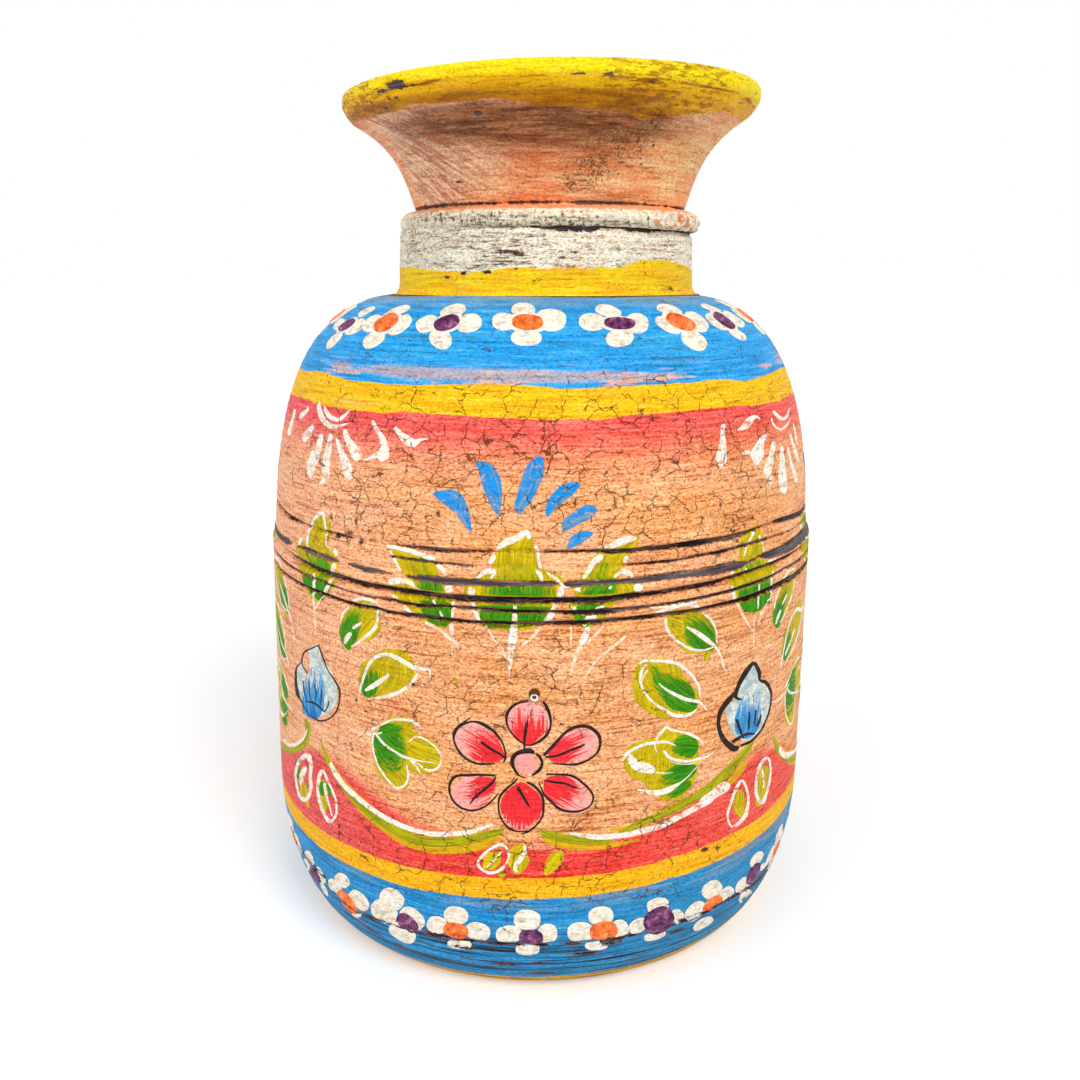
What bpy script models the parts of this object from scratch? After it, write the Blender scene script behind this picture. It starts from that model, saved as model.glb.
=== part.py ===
"""A hand-turned wooden pot: a hollow body in two halves, a neck collar, a flared mouth and a base disc.

Every piece is a closed outline turned about Z. The pieces seat in each other with a spigot in a
socket, glued, and FIT is the gap left for the glue. Metres, +Z up, the foot stands on Z = 0.
"""

import math

import bpy
from mathutils import Vector

# Heights, stacked from the floor up
LOWER_HEIGHT = 0.1500
UPPER_HEIGHT = 0.0815
COLLAR_HEIGHT = 0.0220
BEAD_HEIGHT = 0.0068
FLARE_HEIGHT = 0.0314
LIP_HEIGHT = 0.0083

# The belly: its widest radius, the level of it, and how far foot and top draw in from it
BELLY_RADIUS = 0.1049
BELLY_LEVEL = 0.0500
BELLY_TAPER = 0.0018
FOOT_DRAW_IN = 0.0200

# The ledge where the upper half sits back from the lower one
LEDGE_WIDTH = 0.0014
LEDGE_HEIGHT = 0.0030

# The shoulder: a leaning band, then one arc whose side leans in and whose top slopes down
BAND_LEAN = 0.0007
SHOULDER_LEAN = 0.0052
SHOULDER_SLOPE = 0.0035

# The neck, all outer radii
COLLAR_RADIUS = 0.0533
COLLAR_TAPER = 0.0008
COVE_WIDTH = 0.0034
COVE_HEIGHT = 0.0040
BEAD_OVERHANG = 0.0016

# The flared mouth: a trumpet that leans straight at first and then curls out to the lip
FLARE_FOOT_RADIUS = 0.0495
FLARE_TOP_RADIUS = 0.0709
FLARE_LEAN = 0.45
FLARE_POWER = 3.6
LIP_OVERHANG = 0.0032
LIP_ROUND = 0.0016
LIP_BAND = 0.0020
QUIRK_WIDTH = 0.0014
QUIRK_DEPTH = 0.0007

# Walls
BODY_WALL = 0.0120
COLLAR_WALL = 0.0118
MOUTH_WALL = 0.0085

# Turned grooves by their distance from the seam: (distance, width, depth)
GROOVES_BELOW = ((0.0068, 0.0026, 0.0016), (0.0101, 0.0014, 0.0006), (0.0137, 0.0018, 0.0011))
GROOVES_ABOVE = ((0.0039, 0.0012, 0.0004), (0.0080, 0.0018, 0.0010))

# Joints
FIT = 0.0003
MOUTH_SPIGOT = 0.0100
COLLAR_SPIGOT = 0.0095
TONGUE_HEIGHT = 0.0080

# Base disc: a stepped plug inside the ring of the foot
FOOT_RING = 0.0149
DISC_STEP_IN = 0.0080
DISC_FLANGE = 0.0080
DISC_STEP = 0.0050
DISC_RECESS = 0.0010

SEGMENTS = 48
SHARP_ANGLE = math.radians(32)
ELLIPSE = math.sqrt(0.5)

# Levels that follow from the heights
SEAM = LOWER_HEIGHT
SEAT = SEAM + UPPER_HEIGHT
BEAD_FOOT = SEAT + COLLAR_HEIGHT
FLARE_FOOT = BEAD_FOOT + BEAD_HEIGHT
LIP_FOOT = FLARE_FOOT + FLARE_HEIGHT
RIM = LIP_FOOT + LIP_HEIGHT

# Radii that follow from each other
LOWER_TOP_RADIUS = BELLY_RADIUS - BELLY_TAPER
SHOULDER_RADIUS = LOWER_TOP_RADIUS - LEDGE_WIDTH
COLLAR_FOOT_RADIUS = COLLAR_RADIUS + COLLAR_TAPER
SEAT_RADIUS = COLLAR_FOOT_RADIUS + COVE_WIDTH
FOOT_RADIUS = BELLY_RADIUS - FOOT_DRAW_IN
DISC_RADIUS = FOOT_RADIUS - FOOT_RING
DISC_STEP_RADIUS = DISC_RADIUS - DISC_STEP_IN
LIP_RADIUS = FLARE_TOP_RADIUS + LIP_OVERHANG
LIP_INNER_RADIUS = FLARE_TOP_RADIUS - MOUTH_WALL

# Each joint splits the wall that it is cut in
THROAT_RADIUS = COLLAR_RADIUS - COLLAR_WALL
SPIGOT_RADIUS = COLLAR_RADIUS - (COLLAR_WALL + FIT) / 2
BODY_INNER_RADIUS = SHOULDER_RADIUS - BODY_WALL
TONGUE_RADIUS = SHOULDER_RADIUS - (BODY_WALL + FIT) / 2


def arc(start, corner, end, fullness=ELLIPSE, steps=8):
    """A conic arc from start towards corner and into end; a fullness of ELLIPSE gives a quarter oval."""
    points = []
    for i in range(steps + 1):
        t = i / steps
        first, middle, last = (1 - t) ** 2, 2 * fullness * t * (1 - t), t**2
        total = first + middle + last
        radius = (first * start[0] + middle * corner[0] + last * end[0]) / total
        height = (first * start[1] + middle * corner[1] + last * end[1]) / total
        points.append((radius, height))
    return points


def flare(top, foot, steps=9):
    """The trumpet curve from its top down to its foot, both (radius, height)."""
    points = []
    for i in range(steps + 1):
        t = 1 - i / steps
        share = FLARE_LEAN * t + (1 - FLARE_LEAN) * t**FLARE_POWER
        points.append((foot[0] + (top[0] - foot[0]) * share, foot[1] + (top[1] - foot[1]) * t))
    return points


def groove(radius, level, width, depth):
    """A round-bottomed turned groove, from its upper edge to its lower edge."""
    return [
        (radius, level + width / 2),
        (radius - depth * 0.8, level + width / 4),
        (radius - depth, level),
        (radius - depth * 0.8, level - width / 4),
        (radius, level - width / 2),
    ]


def turned(name, outline, colour, roughness, closed=True):
    """One turned piece: the outline runs down the outer side, and a Screw modifier turns it about Z."""
    corners = [Vector((radius, 0.0, height)) for radius, height in outline]
    count = len(corners)
    edges = [(i, (i + 1) % count) for i in range(count if closed else count - 1)]
    profile = bpy.data.meshes.new(name + "_profile")
    profile.from_pydata(corners, edges, [])
    piece = bpy.data.objects.new(name, profile)
    pot.objects.link(piece)
    screw = piece.modifiers.new("turning", "SCREW")
    screw.axis = "Z"
    screw.angle = 2 * math.pi
    screw.steps = SEGMENTS
    screw.render_steps = SEGMENTS
    screw.use_merge_vertices = True
    screw.merge_threshold = 0.00001
    screw.use_smooth_shade = True

    # The turning is applied, so that the lathe's crisp edges can be marked sharp
    graph = bpy.context.evaluated_depsgraph_get()
    solid = bpy.data.meshes.new_from_object(piece.evaluated_get(graph))
    solid.name = name
    solid.set_sharp_from_angle(angle=SHARP_ANGLE)
    piece.modifiers.remove(screw)
    piece.data = solid
    bpy.data.meshes.remove(profile)

    material = bpy.data.materials.new(name)
    material.use_nodes = True
    shader = material.node_tree.nodes["Principled BSDF"]
    shader.inputs["Base Color"].default_value = (*colour, 1.0)
    shader.inputs["Roughness"].default_value = roughness
    shader.inputs["Metallic"].default_value = 0.0
    solid.materials.append(material)
    return piece


def belly_radius(level):
    """Outer radius of the lower body between the belly and the seam, where the wall leans in a little."""
    return BELLY_RADIUS - BELLY_TAPER * (level - BELLY_LEVEL) / (SEAM - BELLY_LEVEL)


def band_radius(level):
    """Outer radius of the grooved band at the foot of the shoulder."""
    return SHOULDER_RADIUS - BAND_LEAN * (level - SEAM) / (band_top() - SEAM)


def band_top():
    """The level where the grooved band ends and the shoulder's arc starts."""
    distance, width, depth = GROOVES_ABOVE[-1]
    return SEAM + distance + width


def make_base_disc():
    """The bottom: a stepped plug glued into the lower body's rebate, a little above the foot's edge."""
    flange_top = DISC_RECESS + DISC_FLANGE
    top = flange_top + DISC_STEP
    outline = [(0.0, top), (DISC_STEP_RADIUS, top), (DISC_STEP_RADIUS, flange_top)]
    outline += [(DISC_RADIUS, flange_top), (DISC_RADIUS, DISC_RECESS), (0.0, DISC_RECESS)]
    return turned("base_disc", outline, (0.20, 0.12, 0.07), 0.80, closed=False)


def make_lower_body():
    """The belly: a ring with a tongue on top, a turned bead and grooves, and a rebate for the base disc."""
    crest = SEAM - LEDGE_HEIGHT
    crest_radius = belly_radius(crest)
    outline = [(TONGUE_RADIUS, SEAM + TONGUE_HEIGHT), (TONGUE_RADIUS, SEAM), (SHOULDER_RADIUS, SEAM)]
    outline += [(crest_radius - LEDGE_WIDTH * 0.3, crest), (crest_radius, crest - LEDGE_HEIGHT * 0.2)]
    for distance, width, depth in GROOVES_BELOW:
        outline += groove(belly_radius(SEAM - distance), SEAM - distance, width, depth)
    outline += arc(
        (BELLY_RADIUS, BELLY_LEVEL),
        (BELLY_RADIUS, 0.0),
        (FOOT_RADIUS, 0.0),
        steps=12,
    )
    ledge = DISC_RECESS + DISC_FLANGE + FIT
    floor = DISC_RECESS + DISC_FLANGE + DISC_STEP
    hole = DISC_STEP_RADIUS + FIT
    outline += [(DISC_RADIUS + FIT, 0.0), (DISC_RADIUS + FIT, ledge), (hole, ledge)]
    outline += arc(
        (hole, floor),
        (BELLY_RADIUS - BODY_WALL, floor),
        (BELLY_RADIUS - BODY_WALL, BELLY_LEVEL),
    )
    outline += [(BODY_INNER_RADIUS, SEAM), (BODY_INNER_RADIUS, SEAM + TONGUE_HEIGHT)]
    return turned("lower_body", outline, (0.82, 0.42, 0.24), 0.62)


def make_upper_body():
    """The shoulder: a dome with a rebate below for the tongue and a seat above for the collar."""
    outline = arc(
        (SEAT_RADIUS, SEAT),
        (band_radius(band_top()) - SHOULDER_LEAN, SEAT - SHOULDER_SLOPE),
        (band_radius(band_top()), band_top()),
        fullness=1.0,
        steps=16,
    )
    for distance, width, depth in reversed(GROOVES_ABOVE):
        outline += groove(band_radius(SEAM + distance), SEAM + distance, width, depth)
    foot = SEAM + FIT
    rebate = TONGUE_RADIUS + FIT
    rebate_top = SEAM + TONGUE_HEIGHT + FIT
    outline += [(SHOULDER_RADIUS, foot), (rebate, foot), (rebate, rebate_top)]
    socket = SPIGOT_RADIUS + FIT
    outline += arc(
        (BODY_INNER_RADIUS, rebate_top),
        (BODY_INNER_RADIUS - SHOULDER_LEAN, SEAT - BODY_WALL),
        (socket, SEAT - BODY_WALL),
        fullness=1.0,
        steps=10,
    )
    outline.append((socket, SEAT))
    return turned("upper_body", outline, (0.04, 0.30, 0.72), 0.58)


def make_neck_collar():
    """The neck ring: a socket above for the mouth, a cove at its foot and a spigot into the shoulder."""
    seat = SEAT + FIT
    socket = SPIGOT_RADIUS + FIT
    socket_floor = BEAD_FOOT - MOUTH_SPIGOT - FIT
    outline = [(socket, BEAD_FOOT - FIT), (COLLAR_RADIUS, BEAD_FOOT - FIT)]
    outline += arc(
        (COLLAR_FOOT_RADIUS, seat + COVE_HEIGHT),
        (COLLAR_FOOT_RADIUS, seat),
        (SEAT_RADIUS, seat),
        steps=5,
    )
    outline += [(SPIGOT_RADIUS, seat), (SPIGOT_RADIUS, SEAT - COLLAR_SPIGOT)]
    outline += [(THROAT_RADIUS, SEAT - COLLAR_SPIGOT), (THROAT_RADIUS, socket_floor), (socket, socket_floor)]
    return turned("neck_collar", outline, (0.72, 0.68, 0.60), 0.70)


def make_mouth():
    """The flared mouth: lip, trumpet, quirk and bead in one turning, with a spigot down into the collar."""
    outline = [(LIP_INNER_RADIUS, RIM)]
    outline += arc(
        (LIP_RADIUS - LIP_ROUND, RIM),
        (LIP_RADIUS, RIM),
        (LIP_RADIUS, RIM - LIP_ROUND),
        steps=3,
    )
    outline += arc(
        (LIP_RADIUS, RIM - LIP_ROUND - LIP_BAND),
        (LIP_RADIUS, LIP_FOOT + LIP_OVERHANG),
        (FLARE_TOP_RADIUS, LIP_FOOT),
        steps=3,
    )
    outline += flare((FLARE_TOP_RADIUS, LIP_FOOT), (FLARE_FOOT_RADIUS, FLARE_FOOT + QUIRK_WIDTH))[1:]
    outline.append((FLARE_FOOT_RADIUS - QUIRK_DEPTH, FLARE_FOOT + QUIRK_WIDTH / 2))
    crown = COLLAR_RADIUS + BEAD_OVERHANG
    crown_level = BEAD_FOOT + BEAD_HEIGHT / 2
    outline += arc((FLARE_FOOT_RADIUS, FLARE_FOOT), (crown, FLARE_FOOT), (crown, crown_level), steps=5)
    outline += arc((crown, crown_level), (crown, BEAD_FOOT), (COLLAR_RADIUS, BEAD_FOOT), steps=3)[1:]
    outline += [(SPIGOT_RADIUS, BEAD_FOOT), (SPIGOT_RADIUS, BEAD_FOOT - MOUTH_SPIGOT)]
    outline.append((THROAT_RADIUS, BEAD_FOOT - MOUTH_SPIGOT))
    outline += reversed(flare((LIP_INNER_RADIUS, RIM), (THROAT_RADIUS, FLARE_FOOT))[1:])
    return turned("mouth", outline, (0.72, 0.33, 0.20), 0.62)


for old in list(bpy.data.objects):
    bpy.data.objects.remove(old)
pot = bpy.data.collections.new("wooden_pot")
bpy.context.scene.collection.children.link(pot)

make_base_disc()
make_lower_body()
make_upper_body()
make_neck_collar()
make_mouth()
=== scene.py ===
"""The looks of a hand-painted wooden pot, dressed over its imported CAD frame.

The turned wood is rebuilt as fine surfaces with the unevenness of the lathe and the hand. Each
painted motif is a thin skin of brush strokes that follows those surfaces. Lengths are in
millimetres here, and go into the meshes as metres.
"""

import math
import random

import bpy
import numpy as np
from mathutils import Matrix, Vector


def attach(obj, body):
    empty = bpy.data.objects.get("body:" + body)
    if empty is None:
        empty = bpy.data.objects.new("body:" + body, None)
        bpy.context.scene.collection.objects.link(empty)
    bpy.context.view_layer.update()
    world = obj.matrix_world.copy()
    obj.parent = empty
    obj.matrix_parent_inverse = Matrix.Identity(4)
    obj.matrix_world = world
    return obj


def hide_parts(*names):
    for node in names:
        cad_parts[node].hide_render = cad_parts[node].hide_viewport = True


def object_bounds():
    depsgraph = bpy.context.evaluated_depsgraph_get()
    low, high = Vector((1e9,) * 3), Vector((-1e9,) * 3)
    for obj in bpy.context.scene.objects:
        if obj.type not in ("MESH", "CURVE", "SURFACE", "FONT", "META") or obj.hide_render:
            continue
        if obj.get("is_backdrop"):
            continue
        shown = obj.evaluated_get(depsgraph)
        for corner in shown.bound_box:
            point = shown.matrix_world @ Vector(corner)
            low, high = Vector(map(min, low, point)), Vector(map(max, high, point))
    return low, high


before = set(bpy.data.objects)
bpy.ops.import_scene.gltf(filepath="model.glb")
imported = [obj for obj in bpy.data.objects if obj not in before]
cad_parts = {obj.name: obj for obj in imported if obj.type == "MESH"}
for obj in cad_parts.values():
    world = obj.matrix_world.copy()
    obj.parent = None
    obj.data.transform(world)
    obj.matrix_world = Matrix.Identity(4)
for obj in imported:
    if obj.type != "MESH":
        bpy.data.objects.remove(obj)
cad_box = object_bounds()

TAU = 2 * math.pi
ELLIPSE = math.sqrt(0.5)

# Sizes of the turned wood, as in the CAD
SEAM, SEAT, BEAD_FOOT, FLARE_FOOT, LIP_FOOT, RIM = 150.0, 231.5, 253.5, 260.3, 291.7, 300.0
BELLY_RADIUS, BELLY_LEVEL, FOOT_RADIUS = 104.9, 50.0, 84.9
SHOULDER_RADIUS, BAND_RADIUS, BAND_TOP, SEAT_RADIUS = 101.7, 101.0, 159.8, 57.5
SHOULDER_LEAN, SHOULDER_SLOPE = 5.2, 3.5
COLLAR_RADIUS, COLLAR_FOOT_RADIUS, THROAT_RADIUS, SPIGOT_RADIUS = 53.3, 54.1, 41.5, 47.25
COVE_TOP = SEAT + 4.3
BEAD_RADIUS, QUIRK_RADIUS, QUIRK_TOP = 54.9, 49.5, FLARE_FOOT + 1.4
FLARE_TOP_RADIUS, LIP_RADIUS, LIP_INNER_RADIUS = 70.9, 74.1, 62.4
BODY_INNER_RADIUS, BELLY_INNER_RADIUS, TONGUE_RADIUS, TONGUE_TOP = 89.7, 92.9, 95.55, SEAM + 8.0
DISC_RADIUS, DISC_STEP_RADIUS, DISC_LEDGE, DISC_TOP = 70.3, 62.3, 9.3, 14.0
FIT = 0.3
PLUG_RADIUS = SPIGOT_RADIUS - FIT
# The flare's curve: the share of it that is a straight cone, and the power of the rest
FLARE_LEAN, FLARE_POWER = 0.45, 3.6

# How far the pot leans to the right for each mm up, the level that stays in place, and where the
# mouth's tilt starts and over what height it grows
LEAN, LEAN_LEVEL = 0.0094, 120
TILT_FOOT, TILT_HEIGHT = 262.0, 30.0
# The net on which the stains of a skin are worked out
STAIN_COLUMNS, STAIN_ROWS = 720, 240


def rgb(red, green, blue):
    """A colour as the eye reads it on screen, 0 to 255, turned into Blender's linear values."""
    out = []
    for value in (red, green, blue):
        value /= 255
        out.append(value / 12.92 if value <= 0.04045 else ((value + 0.055) / 1.055) ** 2.4)
    return (*out, 1.0)


# Turned outlines


def arc(start, corner, end, fullness=ELLIPSE, steps=60):
    """A conic arc from start towards corner and into end."""
    t = np.linspace(0, 1, steps + 1)[:, None]
    weights = np.concatenate([(1 - t) ** 2, 2 * fullness * t * (1 - t), t**2], axis=1)
    return weights @ np.array([start, corner, end], float) / weights.sum(1, keepdims=True)


def flare(top, foot, steps=120):
    """The trumpet curve from its top down to its foot."""
    t = np.linspace(1, 0, steps + 1)
    share = FLARE_LEAN * t + (1 - FLARE_LEAN) * t**FLARE_POWER
    return np.column_stack([foot[0] + (top[0] - foot[0]) * share, foot[1] + (top[1] - foot[1]) * t])


def line(*corners):
    """A run of straight stretches with a point every half millimetre or less."""
    out = []
    for (r0, z0), (r1, z1) in zip(corners, corners[1:]):
        steps = max(1, int(math.hypot(r1 - r0, z1 - z0) / 0.5))
        t = np.linspace(0, 1, steps + 1)[:, None]
        out.append(np.array([[r0, z0]]) * (1 - t) + np.array([[r1, z1]]) * t)
    return np.concatenate(out)


def sines(theta, level, seed, count, turns, rate):
    """A soft random ripple that closes on itself round the pot, about -1 to 1."""
    rng = random.Random(seed)
    total = np.zeros(np.broadcast(theta, level).shape)
    for _ in range(count):
        around = rng.randint(1, turns)
        total = total + np.sin(around * theta + rng.uniform(-rate, rate) * level + rng.uniform(0, TAU))
    return total / math.sqrt(count)


nets = {}


def lattice(theta, level, seed, cells, size):
    """Value noise on a net of cells round the pot and size mm up it, 0 to 1."""
    rows = 512
    if seed not in nets:
        nets[seed] = np.random.default_rng(seed).random((cells, rows))
    net = nets[seed]
    across = (theta / TAU % 1.0) * cells
    along = np.asarray(level) / size % rows
    i, j = np.floor(across).astype(int), np.floor(along).astype(int)
    f, g = across - i, along - j
    f, g = f * f * (3 - 2 * f), g * g * (3 - 2 * g)
    i, j = i % cells, j % rows
    i1, j1 = (i + 1) % cells, (j + 1) % rows
    low = net[i, j] * (1 - f) + net[i1, j] * f
    high = net[i, j1] * (1 - f) + net[i1, j1] * f
    return low * (1 - g) + high * g


class Skin:
    """The outer surface of one turned piece: an outline from the top down, its unevenness and its lean."""

    def __init__(self, outline, relief, black, stains, shift=0.0, tilt=0.0):
        keep = [0]
        for i in range(1, len(outline)):
            if np.hypot(*(outline[i] - outline[keep[-1]])) > 1e-4:
                keep.append(i)
        self.outline = outline[keep]
        steps = np.diff(self.outline, axis=0)
        self.s = np.concatenate([[0], np.cumsum(np.hypot(steps[:, 0], steps[:, 1]))])
        self.relief, self.black, self.spots, self.shift, self.tilt = relief, black, stains, shift, tilt
        self.nets = None

    def run(self):
        """The outline's whole length."""
        return self.s[-1]

    def radius(self, s):
        return np.interp(s, self.s, self.outline[:, 0])

    def level(self, s):
        return np.interp(s, self.s, self.outline[:, 1])

    def along(self, level):
        """How far down the outline a level lies, where the outline only goes down."""
        return np.interp(-level, -self.outline[:, 1], self.s)

    def sideways(self, z):
        """How far to the right of the pot's foot the piece's axis lies at a level."""
        return LEAN * (z - LEAN_LEVEL) + self.shift

    def rise(self, z, x):
        """How far the piece's tilt lifts a point that lies x to the right of its axis."""
        return self.tilt * np.clip((z - TILT_FOOT) / TILT_HEIGHT, 0, 1) * x

    def stains(self, theta, s):
        """The three kinds of stain at each place, read off a net that is worked out once."""
        if self.nets is None:
            net_theta = np.linspace(0, TAU, STAIN_COLUMNS + 1)[None, :]
            net_s = np.linspace(0, self.run(), STAIN_ROWS + 1)[:, None]
            self.nets = [blots(self, net_theta, net_s, spots) for spots in self.spots]
        theta, s = np.broadcast_arrays(theta, s)
        i, j = s / self.run() * STAIN_ROWS, theta / TAU % 1.0 * STAIN_COLUMNS
        i0, j0 = np.clip(i.astype(int), 0, STAIN_ROWS - 1), np.clip(j.astype(int), 0, STAIN_COLUMNS - 1)
        f, g = i - i0, j - j0
        out = []
        for net in self.nets:
            first = net[i0, j0] * (1 - g) + net[i0, j0 + 1] * g
            out.append(first * (1 - f) + (net[i0 + 1, j0] * (1 - g) + net[i0 + 1, j0 + 1] * g) * f)
        return np.stack(out, axis=-1)

    def at(self, theta, s, lift=0.0):
        """Points on the surface, lifted off it along its normal."""
        theta, s = np.broadcast_arrays(np.asarray(theta, float), np.asarray(s, float))
        r, z = self.radius(s), self.level(s)
        step = 0.4
        dr = self.radius(s + step) - self.radius(s - step)
        dz = self.level(s + step) - self.level(s - step)
        size = np.maximum(np.hypot(dr, dz), 1e-9)
        out_r, out_z = -dz / size, dr / size
        push = self.relief(theta, z, s) + lift
        r, z = r + out_r * push, z + out_z * push
        x, y = r * np.sin(theta), -r * np.cos(theta)
        return np.stack([x + self.sideways(z), y, z + self.rise(z, x)], axis=-1)


CAMERA = np.array([0.0, -398.3, 237.4])
PITCH, FOCAL, HALF_IMAGE = math.radians(14.261), 1029.9, 540.0


def cast(x, y, skin):
    """Where the camera's rays through pixels of the photograph meet a skin: angle, way down the skin."""
    a, b = (x - HALF_IMAGE) / FOCAL, (HALF_IMAGE - y) / FOCAL
    ray = np.stack([a, math.cos(PITCH) + b * math.sin(PITCH), b * math.cos(PITCH) - math.sin(PITCH)])
    middle = -(ray[1] * CAMERA[1]) / (ray[0] ** 2 + ray[1] ** 2)

    def spot(t):
        z = CAMERA[2] + t * ray[2]
        across = CAMERA[0] + t * ray[0] - skin.sideways(z)
        return across, CAMERA[1] + t * ray[1], z - skin.rise(z, across)

    low, high = 0.5 * middle, middle
    for _ in range(34):
        t = (low + high) / 2
        across, deep, z = spot(t)
        outside = np.hypot(across, deep) > skin.radius(skin.along(z))
        low, high = np.where(outside, t, low), np.where(outside, high, t)
    across, deep, z = spot(high)
    return np.arctan2(across, -deep), skin.along(z)


def cast_one(x, y, skin):
    """The same for a single pixel, as two plain numbers: angle, way down the skin."""
    theta, s = cast(np.array([float(x)]), np.array([float(y)]), skin)
    return float(theta[0]), float(s[0])


# The dark lines round the body, read in two enlarged views of the photograph: where each starts and
# ends at "x top bottom"; the first is the ledge under the shoulder, and the rest are cut grooves.
WAIST_VIEWS = ((270, 500, 5.702), (540, 500, 5.702))
FOOT_VIEWS = ((290, 840, 6.03), (530, 820, 5.807))
DARK_LINES = (
    # depth and half width of the cut, then the left and the right view
    (0, 1, """
    60 195 228, 100 218 258, 125 245 250, 148 258 264, 200 265 290, 330 315 345, 380 338 352, 400 346 350,
    440 356 362, 480 362 378, 550 380 408, 600 390 415, 680 412 420, 760 425 428, 820 432 452, 900 430 465,
    1000 440 482, 1100 445 487, 1300 458 490, 1500 462 492""", """
    60 462 490, 105 470 482, 125 476 478, 150 468 486, 175 460 498, 250 458 490, 400 456 476, 450 452 476,
    600 432 470, 700 420 455, 800 405 445, 900 395 435, 1000 375 420, 1100 350 402, 1140 350 390,
    1180 352 362, 1250 315 325, 1275 300 335, 1300 290 338, 1400 245 302, 1480 180 250"""),
    (1.1, 0.8, """
    60 40 55, 110 88 110, 160 120 128, 200 142 144, 640 245 247, 760 257 266, 900 270 290, 1000 280 298,
    1100 286 300, 1200 288 300, 1280 290 297, 1400 291 297, 1540 292 299""", """
    60 290 299, 200 289 300, 250 288 300, 330 286 298, 400 285 305, 520 280 300, 600 270 290, 700 260 285,
    800 245 272, 900 230 260, 1000 218 245, 1100 200 225, 1180 180 195, 1270 148 155, 1330 125 130,
    1400 92 122, 1480 62 90"""),
    (0.55, 0.6, """
    330 180 187, 420 200 212, 500 225 226, 640 305 306, 700 318 326, 800 330 342, 920 348 358, 1000 356 366,
    1150 370 380, 1200 378 382, 1300 380 382, 1500 380 382""", """
    100 376 378, 300 372 376, 480 368 374, 560 360 372, 650 350 366, 780 338 350, 900 312 325, 1000 295 312,
    1120 265 280, 1220 235 250, 1330 205 212, 1440 165 172"""),
    (1.8, 1.2, """
    60 258 268, 100 295 310, 200 358 378, 300 405 425, 400 435 458, 500 465 490, 560 480 502, 700 502 525,
    850 522 545, 1000 545 568, 1100 545 580, 1300 555 592, 1500 560 590""", """
    60 562 590, 170 560 590, 300 560 595, 400 552 585, 520 535 570, 600 535 555, 700 520 545, 800 505 525,
    900 485 512, 1000 468 490, 1100 440 458, 1200 408 425, 1300 370 388, 1400 330 345, 1460 298 312"""),
    (0.8, 0.7, """
    50 320 330, 150 400 408, 300 465 473, 400 505 512, 560 548 556, 700 565 578, 850 595 612, 1000 600 612,
    1150 608 622, 1300 620 640, 1500 628 645""", """
    60 630 642, 150 632 650, 260 625 655, 400 618 645, 520 610 632, 620 605 615, 700 592 602, 800 575 590,
    950 548 562, 1080 515 530, 1200 478 490, 1300 440 455, 1400 385 395, 1470 345 358"""),
    (1.2, 0.8, """
    50 385 400, 150 468 480, 300 530 545, 400 568 582, 500 595 612, 600 610 625, 700 640 655, 850 650 672,
    1000 672 690, 1150 690 705, 1300 695 712, 1500 697 713""", """
    60 695 713, 200 692 713, 400 680 700, 500 672 690, 600 660 682, 700 648 665, 800 638 655, 900 622 640,
    1000 600 618, 1100 575 595, 1200 540 568, 1300 500 525, 1400 445 475, 1480 390 420"""),
    (0.5, 0.7, """
    205 212 232, 250 296 308, 300 350 362, 350 388 396, 395 426 436, 470 456 464, 560 488 496, 620 505 512,
    690 530 534, 765 548 556, 850 555 575, 940 574 594, 1000 592 600, 1100 598 612, 1150 606 614,
    1270 614 632, 1370 618 634, 1450 626 632, 1560 622 642""", """
    60 710 720, 150 712 718, 240 710 724, 320 705 711, 400 696 704, 435 690 722, 480 682 722, 530 674 706,
    560 668 680, 640 660 668, 760 636 642, 860 584 594, 920 564 588, 1000 534 552, 1100 480 494,
    1190 430 444, 1300 362 376"""),
)
# Lathe streaks below that groove: x, y, half width, half height, strength
FOOT_STREAKS = [
    (463, 947, 4.0, 0.45, 1.0), (496, 953, 4.5, 0.4, 1.0), (467, 958, 3.0, 0.5, 1.0),
    (504, 964, 7.0, 0.3, 0.9), (541, 963, 4.0, 0.4, 0.9), (555, 954, 5.0, 0.45, 1.0),
    (587, 953, 6.0, 0.35, 1.0), (540, 973, 6.0, 0.35, 0.9), (676, 931, 5.0, 0.4, 0.9),
    (350, 916, 6.0, 0.4, 0.9), (372, 930, 6.0, 0.4, 0.9), (366, 920, 4.0, 0.3, 0.8),
    (425, 951, 6.0, 0.3, 0.7), (640, 955, 7.0, 0.3, 0.7), (610, 966, 6.0, 0.3, 0.7),
    (400, 944, 5.0, 0.3, 0.7),
]


# Small black chips: x, y, half width, half height, strength
BODY_CHIPS = [
    (331, 517, 1.4, 0.8, 0.8), (356, 521, 0.9, 1.6, 0.8), (337, 536, 1.6, 0.8, 0.8),
    (349, 533, 1.4, 0.8, 0.8), (361, 541, 1.1, 1.0, 0.9), (438, 513, 1.0, 0.8, 0.8),
    (343, 557, 1.4, 0.8, 0.5), (408, 646, 1.2, 0.8, 0.8), (414, 685, 0.9, 0.9, 0.8),
    (356, 700, 0.9, 0.9, 0.7), (366, 711, 1.2, 0.8, 0.6), (338, 737, 1.1, 0.7, 0.6),
    (675, 463, 1.1, 0.8, 0.7), (733, 521, 1.4, 0.9, 0.7), (752, 518, 1.6, 0.8, 0.7),
    (605, 670, 1.1, 0.9, 0.6), (620, 732, 2.4, 0.8, 0.5), (705, 849, 1.8, 0.8, 1.0),
    (718, 847, 1.1, 0.8, 1.0),
]


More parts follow.
